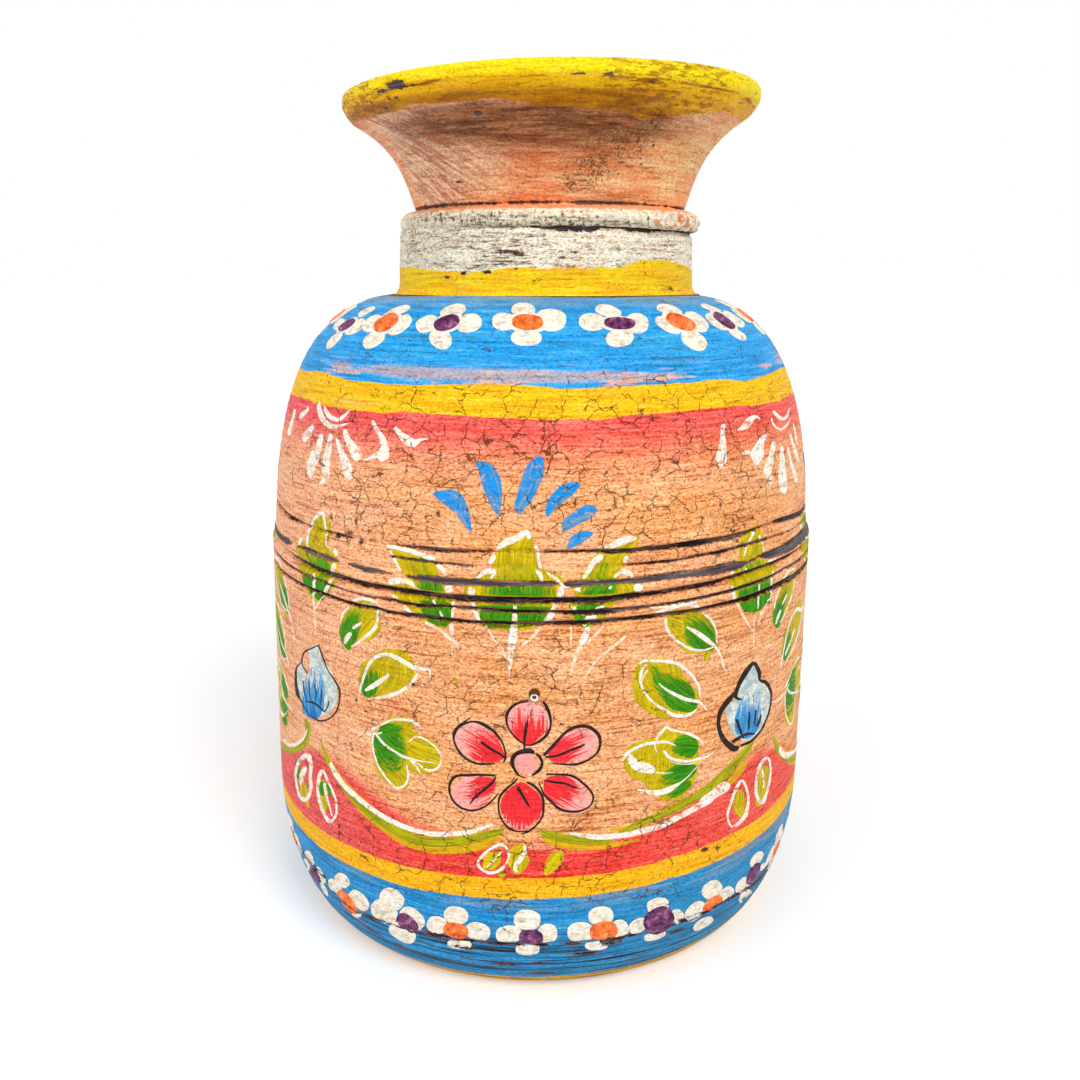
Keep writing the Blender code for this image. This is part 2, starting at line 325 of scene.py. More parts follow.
def read_dark_lines():
    """Each dark line as angles in degrees, and the middle level and half height there."""
    out = []
    for i, (depth, width, *texts) in enumerate(DARK_LINES):
        spots = []
        for (left, top, scale), text in zip(FOOT_VIEWS if i == 6 else WAIST_VIEWS, texts):
            rows = np.array([[float(word) for word in spot.split()] for spot in text.split(",")])
            x = left + rows[:, 0] / scale
            theta, high = cast(x, top + rows[:, 1] / scale, body_skin)
            low = cast(x, top + rows[:, 2] / scale, body_skin)[1]
            high, low = body_skin.level(high), body_skin.level(low)
            spots.append(np.stack([np.degrees(theta), (high + low) / 2, (high - low) / 2]))
        out.append((depth, width, np.concatenate(spots, axis=1)))
    return out


def read_border(spots, skin):
    """A painted border as angles in degrees and the levels there, from pixels of the photograph."""
    theta, s = cast(*np.array(spots, float).T, skin)
    return np.degrees(theta), skin.level(s)


def by_angle(theta, angles, values):
    """A table of values round the front; the back is its mirror image."""
    degrees = (np.degrees(theta) + 180) % 360 - 180
    return np.interp(np.copysign(np.minimum(abs(degrees), 180 - abs(degrees)), degrees), angles, values)


def ragged(theta, level, seed):
    """Fine noise that makes an edge ragged, -1 to 1."""
    return 2 * lattice(theta, level, seed, 420, 0.7) - 1


def body_black(theta, s):
    """How black the grooves' dirt and the ledge's dirt and painted shadow lie: 1 within, less across a soft
    edge.
    """
    level = body_skin.level(s)
    dark = np.zeros(np.broadcast(theta, level).shape)
    for i, (_, _, (angles, middle, half)) in enumerate(dark_lines):
        half = by_angle(theta, angles, half) * (1 + 0.3 * (lattice(theta, level * 0, 61 + i, 240, 1.0) - 0.5))
        apart = abs(level - by_angle(theta, angles, middle))
        line = np.clip((half + 0.1 * ragged(theta, level, 73 + i) - apart) / 1.1 + 0.5, 0, 1)
        dark = np.maximum(dark, line * np.clip(half * 8 - 0.8, 0, 1))
    dark = np.maximum(dark, blots(body_skin, theta, s, BODY_CHIPS))
    if level.min() < 30:
        dark = np.maximum(dark, blots(body_skin, theta, s, FOOT_STREAKS))
    return dark


def groove_depth(theta, level):
    """How deep the lathe's grooves cut at each place."""
    depth = np.zeros(np.broadcast(theta, level).shape)
    for deep, width, (angles, middle, half) in dark_lines[1:]:
        strength = 0.4 + 0.6 * np.clip(by_angle(theta, angles, half) * 2, 0, 1)
        apart = (level - by_angle(theta, angles, middle)) / width
        depth = depth + deep * strength * np.exp(-(apart**4))
    return depth


def body_relief(theta, level, s):
    """Unevenness of the body: slow swells, lathe ridges, brush texture and the grooves."""
    slow = 0.22 * sines(theta, level * 0.03, 3, 6, 5, 1.0)
    ridges = 0.05 * sines(theta * 0, level, 4, 10, 1, 3.0)
    grain = 0.05 * (lattice(theta, s, 5, 420, 0.9) - 0.5)
    # The foot is even where it stands
    return (slow + ridges + grain) * np.clip(level / 4.0, 0, 1) - groove_depth(theta, level)


# The black gap under the bead: how high it stands, in mm, at angles round the front
BEAD_GAP = (
    (-80, -30, -12, -4, 0, 6, 16, 19, 27, 32, 40, 46, 58, 66, 80),
    (0.0, 0.0, 0.0, 0.2, 0.7, 1.2, 1.2, 0.2, 0.2, 1.0, 1.1, 0.4, 0.4, 0.9, 0.9),
)


def collar_relief(theta, level, s):
    """The collar's old chalky paint: lumps, pits where it has flaked, and the gap under the bead."""
    lumps = 0.30 * (lattice(theta, s, 6, 120, 2.4) - 0.5) + 0.20 * (lattice(theta, s, 7, 300, 1.0) - 0.5)
    gap = 0.9 * np.clip(by_angle(theta, *BEAD_GAP), 0, 1) * np.exp(-(((s - 1.0) / 1.3) ** 4))
    return 0.15 * sines(theta, level * 0.05, 8, 5, 5, 1.0) + lumps - gap


def mouth_relief(theta, level, s):
    """The mouth: slow swells, scraper marks, a lumpy bead and a lip with flaked edges."""
    slow = 0.25 * sines(theta, level * 0.04, 9, 6, 5, 1.0)
    bead = np.clip((262.0 - level) / 2.0, 0, 1)
    lip = np.clip((level - 293.5) / 2.0, 0, 1)
    lumps = (lattice(theta, s, 10, 130, 2.2) - 0.5) * 0.55 + (lattice(theta, s, 12, 300, 1.0) - 0.5) * 0.25
    flakes = -0.35 * np.clip(lattice(theta, s, 13, 150, 1.6) - 0.72, 0, 1) / 0.28
    return slow + bead * lumps + lip * flakes + 0.05 * (lattice(theta, s, 14, 300, 0.9) - 0.5)


# The quirk's level, and how far down the mouth's outline the lip's edge lies
QUIRK_LEVEL, LIP_EDGE = 261.2, 15.9
# How black the quirk is, and how far the lip's edge has chipped, at angles round the front
QUIRK_BLACK = (
    (-80, -50, -30, -22, -18, -12, -5, 2, 5, 10, 14, 30, 40, 48, 80),
    (1.3, 1.2, 0.9, 0.7, 0.0, 0.8, 0.8, 0.7, 0.0, 0.9, 1.0, 0.9, 0.7, 0.5, 0.9),
)
LIP_CHIPPED = (
    (-80, -52, -48, -41, -36, -26, 2, 5, 14, 18, 26, 80),
    (0.0, 0.3, 0.8, 0.9, 0.6, 0.0, 0.0, 0.5, 0.6, 0.0, 0.0, 0.0),
)


def mouth_black(theta, s):
    """The black line in the quirk, and slate where the lip's yellow has chipped off its edge."""
    level = mouth_skin.level(s)
    black = by_angle(theta, *QUIRK_BLACK)
    half = 0.42 * (black + 0.6 * ragged(theta, level * 0, 81))
    dark = np.clip((half - abs(level - QUIRK_LEVEL)) / 0.7 + 0.5, 0, 1) * np.clip(black * 5, 0, 1)
    half = 0.5 * by_angle(theta, *LIP_CHIPPED) * (1 + ragged(theta, level * 0, 82))
    dark = np.maximum(dark, np.clip((half - abs(s - LIP_EDGE)) / 0.3, 0, 1))
    return np.maximum(dark, blots(mouth_skin, theta, s, MOUTH_CHIPS))


def collar_black(theta, s):
    """The ragged black gap under the bead, and black chips along the top of the yellow."""
    deep = by_angle(theta, *BEAD_GAP) * (1 + 0.5 * ragged(theta, s * 0, 83))
    gap = np.clip((deep + 0.7 - s) / 0.4 + 0.3, 0, 1) * (deep > 0.12)
    return np.maximum(gap, blots(collar_skin, theta, s, COLLAR_CHIPS))


spot_places = {}


def blots(skin, theta, s, spots):
    """Soft spots: pixels of the photograph, half width and half height in mm, and strength.

    The back has them too, half a turn away and a little weaker.
    """
    total = np.zeros(np.broadcast(theta, s).shape)
    least, most = s.min(), s.max()
    for x, y, wide, high, strength in spots:
        if (x, y) not in spot_places:
            spot_places[x, y] = cast_one(x, y, skin)
        spot_theta, spot_s = spot_places[x, y]
        if not least - 4 * high < spot_s < most + 4 * high:
            continue
        radius = float(skin.radius(spot_s))
        if high > 0.2 * skin.run():
            radius = 100.0 if skin is body_skin else 60.0
        for turn, share in ((0, 1.0), (math.pi, 0.9)):
            apart = (theta - spot_theta - turn + math.pi) % TAU - math.pi
            fall = ((apart * radius / wide) ** 2) + ((s - spot_s) / high) ** 2
            total = total + share * strength * np.exp(-fall)
    return np.clip(total, 0, 1)


# Chips and stains of the mouth and the collar: x, y, half width, half height, strength
MOUTH_CHIPS = [
    (393, 85, 3.0, 1.3, 1.2), (399, 83, 1.8, 0.8, 1.0), (371, 102, 0.7, 0.9, 0.9), (388, 97, 1.0, 1.8, 0.6),
    (386, 108, 1.6, 1.2, 0.7), (396, 98, 1.2, 0.6, 0.7), (611, 74, 1.0, 0.8, 1.0), (652, 82, 1.2, 0.8, 0.6),
    (478, 113, 1.6, 0.6, 1.2), (673, 97, 1.0, 0.7, 0.6), (459, 182, 1.6, 0.5, 0.9),
    (651, 122, 1.2, 0.6, 0.7), (656, 126, 1.2, 0.6, 0.8), (660, 130, 0.8, 0.6, 0.7),
    (638, 140, 0.9, 1.2, 0.6), (632, 105, 1.4, 0.5, 0.7),
]
COLLAR_CHIPS = [
    (447, 277, 1.6, 0.4, 1.0), (463, 273, 1.2, 0.6, 1.0), (487, 272, 1.4, 0.7, 1.0),
    (516, 269, 1.0, 0.5, 0.8), (519, 254, 2.2, 0.8, 0.8), (504, 252, 2.4, 0.6, 0.7),
    (473, 219, 0.9, 0.8, 0.8), (671, 289, 1.6, 1.0, 0.7), (575, 252, 2.6, 0.4, 0.6),
    (563, 257, 1.6, 0.4, 0.6), (455, 248, 1.4, 0.4, 0.6), (472, 248, 1.0, 0.4, 0.6),
]
# The three kinds of stain: grime, cracks (pink on the mouth), wear (brown on the mouth; under the lip also
# painted shade)
MOUTH_STAINS = (
    [(590, 165, 9, 8, 0.8), (640, 130, 9, 7, 0.9), (655, 121, 6, 4, 0.9), (572, 184, 6, 5, 0.5),
     (620, 148, 12, 7, 0.5), (386, 100, 6, 5, 0.7), (650, 82, 7, 3, 0.7), (690, 88, 5, 2, 0.5),
     (440, 128, 12, 4, 0.4), (430, 218, 12, 3, 0.8), (480, 220, 16, 3, 0.9), (530, 224, 18, 3, 1.0),
     (580, 224, 14, 2.4, 1.0), (640, 224, 14, 2, 0.7)],
    [(440, 150, 24, 16, 1.0), (395, 125, 16, 14, 1.0), (480, 112, 20, 6, 0.7), (430, 190, 14, 12, 0.9),
     (700, 112, 14, 5, 0.7)],
    [(490, 114, 34, 5, 0.9), (570, 120, 30, 6, 0.9), (450, 128, 22, 6, 0.8), (640, 126, 22, 6, 0.6),
     (540, 136, 24, 6, 0.6), (610, 200, 12, 3, 0.6)],
)
COLLAR_STAINS = (
    [(505, 252, 9, 4, 0.8), (412, 245, 5, 8, 0.6), (450, 245, 20, 8, 0.2), (545, 232, 20, 3, 0.3),
     (665, 288, 6, 2, 0.7), (480, 282, 10, 3, 0.3), (560, 256, 8, 2, 0.4), (480, 264, 20, 1.5, 0.4)],
    [(470, 240, 30, 10, 0.6)],
    [(420, 245, 24, 14, 1.0), (470, 245, 16, 14, 0.6)],
)
BODY_STAINS = (
    [(335, 540, 12, 4, 0.8), (300, 470, 26, 20, 0.25), (360, 520, 20, 10, 0.25), (430, 690, 26, 24, 0.3),
     (500, 670, 30, 12, 0.3), (400, 640, 24, 14, 0.25), (540, 700, 24, 20, 0.25), (610, 690, 26, 20, 0.3),
     (660, 820, 24, 8, 0.5), (690, 620, 20, 10, 0.4), (730, 540, 6, 6, 0.7), (560, 630, 22, 10, 0.35),
     (380, 830, 20, 6, 0.35), (720, 460, 20, 20, 0.2), (450, 610, 20, 6, 0.35), (700, 660, 24, 16, 0.3)],
    [(540, 450, 70, 22, 0.8), (380, 450, 40, 20, 0.8), (700, 460, 40, 24, 0.9), (540, 520, 70, 12, 0.6),
     (560, 690, 34, 20, 0.8), (430, 700, 26, 20, 0.7), (620, 760, 20, 14, 0.5), (720, 520, 20, 16, 0.8),
     (450, 760, 26, 14, 0.5), (340, 500, 30, 16, 0.5), (500, 850, 60, 18, 0.8), (420, 860, 40, 12, 0.6),
     (640, 850, 40, 12, 0.5), (520, 900, 50, 6, 0.6)],
    [(480, 375, 34, 2.2, 0.9), (560, 378, 24, 1.6, 0.7), (400, 372, 14, 2, 0.6), (350, 402, 20, 2, 0.5),
     (330, 440, 16, 6, 0.5)],
)
# The foot of the lip's yellow and of the collar's white, as pixels read off the photograph: x, y
YELLOW_BORDER = (
    (355, 121), (365, 119), (384, 114), (402, 110), (410, 105.4), (424, 103.4), (444, 103.4), (464, 101.4),
    (495, 98), (508, 99.4), (540, 106), (580, 108.4), (612, 110), (624, 113), (643, 120), (662, 117),
    (683.5, 114.7), (720, 111.2), (726, 112),
)
WHITE_BORDER = (
    (403, 267), (413, 268), (430, 270), (450, 271), (470, 273), (510, 267), (545, 268), (615, 268),
    (630, 264), (645, 260), (670, 261), (681, 264), (690, 270),
)

shoulder_outline = np.concatenate([
    arc(
        (SEAT_RADIUS, SEAT), (BAND_RADIUS - SHOULDER_LEAN, SEAT - SHOULDER_SLOPE), (BAND_RADIUS, BAND_TOP),
        fullness=1.0, steps=300,
    ),
    line((BAND_RADIUS, BAND_TOP), (SHOULDER_RADIUS, SEAM + FIT)),
])
belly_outline = np.concatenate([
    line((SHOULDER_RADIUS, SEAM), (102.6, SEAM - 3.0), (103.15, SEAM - 3.6), (BELLY_RADIUS, BELLY_LEVEL)),
    arc((BELLY_RADIUS, BELLY_LEVEL), (BELLY_RADIUS, 0.0), (FOOT_RADIUS, 0.0), steps=300),
])
collar_outline = np.concatenate([
    line((COLLAR_RADIUS - 0.4, BEAD_FOOT + 0.4), (COLLAR_RADIUS, BEAD_FOOT - FIT)),
    line((COLLAR_RADIUS, BEAD_FOOT - FIT), (COLLAR_FOOT_RADIUS, COVE_TOP)),
    arc((COLLAR_FOOT_RADIUS, COVE_TOP), (COLLAR_FOOT_RADIUS, SEAT), (SEAT_RADIUS, SEAT - 0.6)),
])
mouth_outline = np.concatenate([
    line((LIP_INNER_RADIUS, RIM), (LIP_RADIUS - 1.6, RIM)),
    arc((LIP_RADIUS - 1.6, RIM), (LIP_RADIUS, RIM), (LIP_RADIUS, RIM - 1.6)),
    arc((LIP_RADIUS, RIM - 3.6), (LIP_RADIUS, LIP_FOOT + 3.2), (FLARE_TOP_RADIUS, LIP_FOOT)),
    flare((FLARE_TOP_RADIUS, LIP_FOOT), (QUIRK_RADIUS, QUIRK_TOP)),
    line((QUIRK_RADIUS, QUIRK_TOP), (QUIRK_RADIUS - 0.7, FLARE_FOOT + 0.7), (QUIRK_RADIUS, FLARE_FOOT)),
    arc((QUIRK_RADIUS, FLARE_FOOT), (BEAD_RADIUS, FLARE_FOOT), (BEAD_RADIUS, BEAD_FOOT + 3.4)),
    arc((BEAD_RADIUS, BEAD_FOOT + 3.4), (BEAD_RADIUS, BEAD_FOOT), (COLLAR_RADIUS, BEAD_FOOT)),
])

body_skin = Skin(np.concatenate([shoulder_outline, belly_outline]), body_relief, body_black, BODY_STAINS)
collar_skin = Skin(collar_outline, collar_relief, collar_black, COLLAR_STAINS, shift=1.05)
mouth_skin = Skin(mouth_outline, mouth_relief, mouth_black, MOUTH_STAINS, shift=2.3, tilt=0.018)
dark_lines = read_dark_lines()
yellow_border = read_border(YELLOW_BORDER, mouth_skin)
white_border = read_border(WHITE_BORDER, collar_skin)


def finish_mesh(obj, node, slot, materials):
    """Gives a piece its materials, hangs it on the root body, and hides any CAD part that it stands for."""
    for material in materials:
        obj.data.materials.append(material)
    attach(obj, "root")
    if node:
        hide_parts(node)


def new_mesh(name, points, faces, material_index=None):
    """A mesh object from points in millimetres."""
    mesh = bpy.data.meshes.new(name)
    mesh.from_pydata((np.asarray(points) * 0.001).tolist(), [], [tuple(f) for f in faces])
    mesh.shade_smooth()
    if material_index is not None:
        mesh.polygons.foreach_set("material_index", np.asarray(material_index, np.int32))
    mesh.update()
    obj = bpy.data.objects.new(name, mesh)
    bpy.context.scene.collection.objects.link(obj)
    return obj


def add_numbers(obj, name, values):
    """Stores a number or a vector at each point for the materials."""
    values = np.asarray(values, np.float32)
    kind, field = ("FLOAT_VECTOR", "vector") if values.ndim == 2 else ("FLOAT", "value")
    obj.data.attributes.new(name, kind, "POINT").data.foreach_set(field, values.ravel())


def grid_faces(rows, columns, closed_rows=False):
    """Quads between rows of points that close round the pot."""
    i = np.arange(rows if closed_rows else rows - 1)[:, None]
    j = np.arange(columns)[None, :]
    a, b = i * columns + j, i * columns + (j + 1) % columns
    below = ((i + 1) % rows) * columns
    return np.stack([a, below + j, below + (j + 1) % columns, b], axis=-1).reshape(-1, 4)


def turned_piece(name, node, slot, skin, inner, columns, rows, material, bare):
    """A closed turned piece: the fine outer skin, then the inner outline back up to its start."""
    theta = np.arange(columns) / columns * TAU
    outer = skin.at(theta[None, :], rows[:, None])
    r, z = inner[:, :1], inner[:, 1:] + 0 * theta
    x = r * np.sin(theta) + skin.sideways(z)
    inside = np.stack([x, -r * np.cos(theta), z + skin.rise(z, x)], axis=-1)
    points = np.concatenate([outer, inside]).reshape(-1, 3)
    count = len(rows) + len(inner)
    faces = grid_faces(count, columns, closed_rows=True)
    row_of_face = np.arange(len(faces)) // columns
    obj = new_mesh(name, points, faces, row_of_face >= len(rows) - 1)
    obj.data.set_sharp_from_angle(angle=math.radians(40))
    outside = len(rows) * columns
    black, stain, edge = np.zeros(count * columns), np.zeros((count * columns, 3)), np.zeros(count * columns)
    black[:outside] = skin.black(theta[None, :], rows[:, None]).ravel()
    stain[:outside] = skin.stains(theta[None, :], rows[:, None]).reshape(-1, 3)
    if skin is not body_skin:
        levels = np.concatenate([skin.level(rows), inner[:, 1]])
        border = yellow_border if skin is mouth_skin else white_border
        edge = (levels[:, None] - by_angle(theta, *border)).ravel()
    add_numbers(obj, "black", black)
    add_numbers(obj, "stain", stain)
    add_numbers(obj, "edge", edge)
    finish_mesh(obj, node, slot, [material, bare])


def rows_of(skin, spacing, dense=(), dense_spacing=0.3, start=0.0, end=None):
    """Rows at an even spacing down a skin, closer between the levels named in dense."""
    s, end = [start], end or skin.run()
    while s[-1] < end:
        level = float(skin.level(s[-1]))
        close = any(low <= level <= high for low, high in dense)
        s.append(s[-1] + (dense_spacing if close else spacing))
    s[-1] = end
    return np.array(s)


# Node trees


class Value:
    """What a node gives. Arithmetic on it adds Math nodes to the same tree."""

    def __init__(self, nodes, socket):
        self.nodes, self.socket = nodes, socket

    def __add__(self, other):
        return self.nodes.math("ADD", self, other)

    def __sub__(self, other):
        return self.nodes.math("SUBTRACT", self, other)

    def __rsub__(self, other):
        return self.nodes.math("SUBTRACT", other, self)

    def __mul__(self, other):
        return self.nodes.math("MULTIPLY", self, other)


class Nodes:
    """Short calls that add nodes to one tree and wire them."""

    def __init__(self, tree):
        self.tree = tree

    def add(self, kind, **settings):
        node = self.tree.nodes.new("ShaderNode" + kind)
        for key, value in settings.items():
            setattr(node, key, value)
        return node

    def put(self, socket, value):
        """Wires what a node gives into a socket, or sets the socket to a plain number or colour."""
        if isinstance(value, Value):
            self.tree.links.new(value.socket, socket)
        else:
            socket.default_value = value

    def fill(self, node, *values):
        """Puts values into a node's first sockets; returns what its first output gives."""
        for socket, value in zip(node.inputs, values):
            self.put(socket, value)
        return Value(self, node.outputs[0])

    def math(self, operation, *values, clamp=False):
        return self.fill(self.add("Math", operation=operation, use_clamp=clamp), *values)

    def vector(self, operation, *values):
        return self.fill(self.add("VectorMath", operation=operation), *values)

    def mix(self, amount, first, second, blend="MIX"):
        node = self.add("Mix", data_type="RGBA", blend_type=blend)
        self.put(node.inputs["Factor"], amount)
        for socket, value in zip([s for s in node.inputs if s.type == "RGBA"], (first, second)):
            self.put(socket, value)
        return Value(self, [s for s in node.outputs if s.type == "RGBA"][0])

    def texture(self, kind, output, inputs, **settings):
        """A texture node with its inputs by name; returns what one of its outputs gives."""
        node = self.add("Tex" + kind, **settings)
        for name, value in inputs.items():
            self.put(node.inputs[name], value)
        return Value(self, node.outputs[output])

    def noise(self, place, scale=1.0, detail=2.0, rough=0.5, warp=0.0, output=0):
        """Noise about 0.5; scale is in cells per mm."""
        inputs = {"Vector": place, "Scale": scale, "Detail": detail, "Roughness": rough, "Distortion": warp}
        return self.texture("Noise", output, inputs)

    def step(self, value, low, high):
        """0 below low and 1 above high, or the other way round where low is the larger."""
        node = self.add("MapRange", interpolation_type="SMOOTHSTEP")
        self.put(node.inputs["Value"], value)
        if low > high:
            low, high = high, low
            self.put(node.inputs["To Min"], 1.0)
            self.put(node.inputs["To Max"], 0.0)
        self.put(node.inputs["From Min"], low)
        self.put(node.inputs["From Max"], high)
        return Value(self, node.outputs[0])

    def parts(self, vector):
        """The three numbers in a vector."""
        node = self.add("SeparateXYZ")
        self.put(node.inputs[0], vector)
        return [Value(self, output) for output in node.outputs]

    def stored(self, name, output="Fac"):
        """What the mesh stores at its points under a name: a number, or where output says so a vector."""
        return Value(self, self.add("Attribute", attribute_name=name).outputs[output])

    def stains(self):
        """The three kinds of stain, as numbers from 0 to 1."""
        return self.parts(self.stored("stain", "Vector"))

    def place(self):
        """The point's place on the pot in millimetres."""
        coords = Value(self, self.add("TexCoord").outputs["Object"])
        return self.vector("MULTIPLY", coords, (1000, 1000, 1000))

    def stretched(self, place, around, up):
        """The place scaled so that noise draws out round the pot."""
        return self.vector("MULTIPLY", place, (around, around, up))

    def group(self, tree, **values):
        node = self.add("Group", node_tree=tree)
        for key, value in values.items():
            self.put(node.inputs[key], value)
        return {output.name: Value(self, output) for output in node.outputs}


def new_group(name, takes, gives):
    """An empty node group with its sockets; returns its tree, its nodes, what it takes and its ends."""
    tree = bpy.data.node_groups.new(name, "ShaderNodeTree")
    for labels, direction in ((takes, "INPUT"), (gives, "OUTPUT")):
        for label in labels:
            kind = "NodeSocketColor" if label == "Color" else "NodeSocketFloat"
            tree.interface.new_socket(label, in_out=direction, socket_type=kind)
    n = Nodes(tree)
    source = {output.name: Value(n, output) for output in tree.nodes.new("NodeGroupInput").outputs}
    return tree, n, source, tree.nodes.new("NodeGroupOutput").inputs


def cracks(n, place, cell, warp, width, widest):
    """Jagged lines between the cells of a dried paint film, 1 on a line; width is half a line's in mm."""
    push = n.vector("MULTIPLY", n.noise(place, 1.4 / cell, 4.0, 0.65, output="Color"), (warp,) * 3)
    moved = n.vector("MULTIPLY", n.vector("ADD", place, push), (0.85, 0.85, 1.15))
    inputs = {"Vector": moved, "Scale": 1.0 / cell, "Randomness": 0.85}
    apart = n.texture("Voronoi", "Distance", inputs, feature="DISTANCE_TO_EDGE") * cell
    return n.math("MULTIPLY", n.math("MINIMUM", width, widest) - apart, 12.0, clamp=True)


# Levels at which the painted bands of the body end below, and half the width of their brushed edges
BLUE_FOOT, YELLOW_FOOT, PEACH_FOOT, LOW_YELLOW_FOOT, LOW_BLUE_FOOT = 206.1, 197.3, 50.9, 43.2, 6.8
SOFT = 0.2


def around_noise(n, place, around, up, detail=4.0, rough=0.65):
    """Noise drawn out round the pot, as a brush or a lathe leaves its marks."""
    return n.noise(n.stretched(place, around, up), detail=detail, rough=rough)


def make_ground():
    """The painted bands of the body by height, with brushed edges, before dirt and cracks."""
    tree, n, _, end = new_group("painted_bands", [], ["Color", "Grain"])
    place = n.place()
    x, y, z = n.parts(place)
    slow = around_noise(n, place, 0.028, 0.05, 2.0, 0.5)
    fray = around_noise(n, place, 0.10, 1.1, 3.0, 0.6)
    thin = around_noise(n, place, 0.03, 0.9, 5.0, 0.7)
    patch = around_noise(n, place, 0.04, 0.10, 3.0, 0.6)
    edge = (slow - 0.5) * 5.0 + z
    edge = (fray - 0.5) * 1.6 + edge
    # The lower borders stand a little higher at the right
    low_edge = (slow - 0.5) * 1.5 + (z + x * -0.028)
    low_edge = (fray - 0.5) * 1.6 + low_edge
    # The lower red follows the vine, which hangs lowest under each red flower
    theta = n.math("ARCTAN2", x, y * -1.0)
    swag = n.math("COSINE", theta * 4.0) * 8.5
    swag = swag + n.math("COSINE", theta * 8.0) * -2.0
    hem = z + swag + (fray + thin - 1.0) * 6.0
    soft = (fray - 0.5) * 11.0 + z
    soft = (thin - 0.5) * 12.0 + soft
    peach = n.mix(n.step(patch, 0.35, 0.65), rgb(250, 184, 136), rgb(248, 172, 108))
    peach = n.mix(n.step(x, -15, -85) * 0.7, peach, rgb(254, 186, 150))
    strokes = n.step(z, 140, 128) * (n.step(x, -40, 20) * 0.45 + 0.25)
    strokes = strokes * (n.step(patch, 0.42, 0.58) * 0.95 + 0.2)
    peach = n.mix(n.step(thin, 0.47, 0.60) * strokes, peach, rgb(192, 118, 64))
    grit = around_noise(n, place, 0.7, 1.3, 3.0, 0.7)
    lower = n.step(z, 140, 128)
    peach = n.mix(n.step(grit, 0.52, 0.62) * (lower * 0.22), peach, rgb(208, 134, 84))
    peach = n.mix(n.step(grit, 0.47, 0.38) * (lower * 0.35), peach, rgb(255, 216, 172))
    red = n.mix(n.step(thin, 0.38, 0.62), rgb(246, 68, 68), rgb(250, 112, 102))
    red = n.mix(n.step(x, -20, -80) * 0.6, red, rgb(246, 92, 108))
    deep_red = n.mix(n.step(thin, 0.38, 0.62), rgb(244, 52, 46), rgb(246, 84, 72))
    deep_red = n.mix(n.step(x, -25, -80) * 0.75, deep_red, rgb(230, 98, 100))
    deep_red = n.mix(n.step(x, 15, 75) * 0.55, deep_red, rgb(242, 100, 88))
    colour = n.mix(n.step(hem, 65.0, 71.5), deep_red, peach)
    colour = n.mix(n.step(soft, 176.0, 196.0), colour, red)
    yellow = n.mix(n.step(thin, 0.40, 0.62), rgb(250, 205, 12), rgb(252, 184, 12))
    blue = n.mix(n.step(thin, 0.38, 0.60), rgb(14, 150, 230), rgb(50, 172, 240))
    # Grey worn line where the blue meets the collar, and peach wear where it meets the yellow
    worn = n.step(z, 227.0, 231.5) * n.step(thin, 0.40, 0.55)
    high_blue = n.mix(worn * 0.7, blue, rgb(146, 160, 160))
    worn = n.step(z, 214.0, 207.0) * n.step(patch + thin, 1.02, 1.14)
    high_blue = n.mix(worn * 0.85, high_blue, rgb(240, 182, 148))
    # Black lathe streaks and grey wear in the lower blue
    low_blue = n.mix(n.step(thin, 0.42, 0.62), rgb(14, 134, 208), rgb(48, 166, 224))
    low_blue = n.mix(n.step(x, -20, 60) * 0.5, low_blue, rgb(44, 140, 186))
    worn = n.step(z, 37.0, 42.5) * n.step(patch + thin, 0.92, 1.06)
    low_blue = n.mix(worn * 0.7, low_blue, rgb(128, 146, 172))
    lathe = around_noise(n, place, 0.014, 0.85, 5.0, 0.7)
    low = n.step(z, 34, 20) * n.step(z, 6, 9)
    low_blue = n.mix(n.step(lathe, 0.47, 0.54) * (low * 0.6), low_blue, rgb(10, 84, 116))
    low_blue = n.mix(n.step(lathe, 0.55, 0.58) * low, low_blue, rgb(26, 30, 32))
    low_yellow = n.mix(0.3, yellow, rgb(250, 160, 20))
    foot = n.mix(n.step(thin, 0.45, 0.60), rgb(230, 176, 30), rgb(160, 112, 24))
    colour = n.mix(n.step(low_edge, PEACH_FOOT + SOFT, PEACH_FOOT - SOFT), colour, low_yellow)
    colour = n.mix(n.step(low_edge, LOW_YELLOW_FOOT + SOFT, LOW_YELLOW_FOOT - SOFT), colour, low_blue)
    colour = n.mix(n.step(low_edge, LOW_BLUE_FOOT + SOFT, LOW_BLUE_FOOT - SOFT), colour, foot)
    colour = n.mix(n.step(edge, YELLOW_FOOT - SOFT, YELLOW_FOOT + SOFT), colour, yellow)
    colour = n.mix(n.step(edge, BLUE_FOOT - SOFT, BLUE_FOOT + SOFT), colour, high_blue)
    n.put(end["Color"], colour)
    # The yellow and the blue are smoother than the peach and the red
    above = n.step(low_edge, PEACH_FOOT - SOFT, PEACH_FOOT + SOFT)
    below = n.step(edge, YELLOW_FOOT + SOFT, YELLOW_FOOT - SOFT)
    n.put(end["Grain"], above * below * 0.40 + 0.60)
    return tree


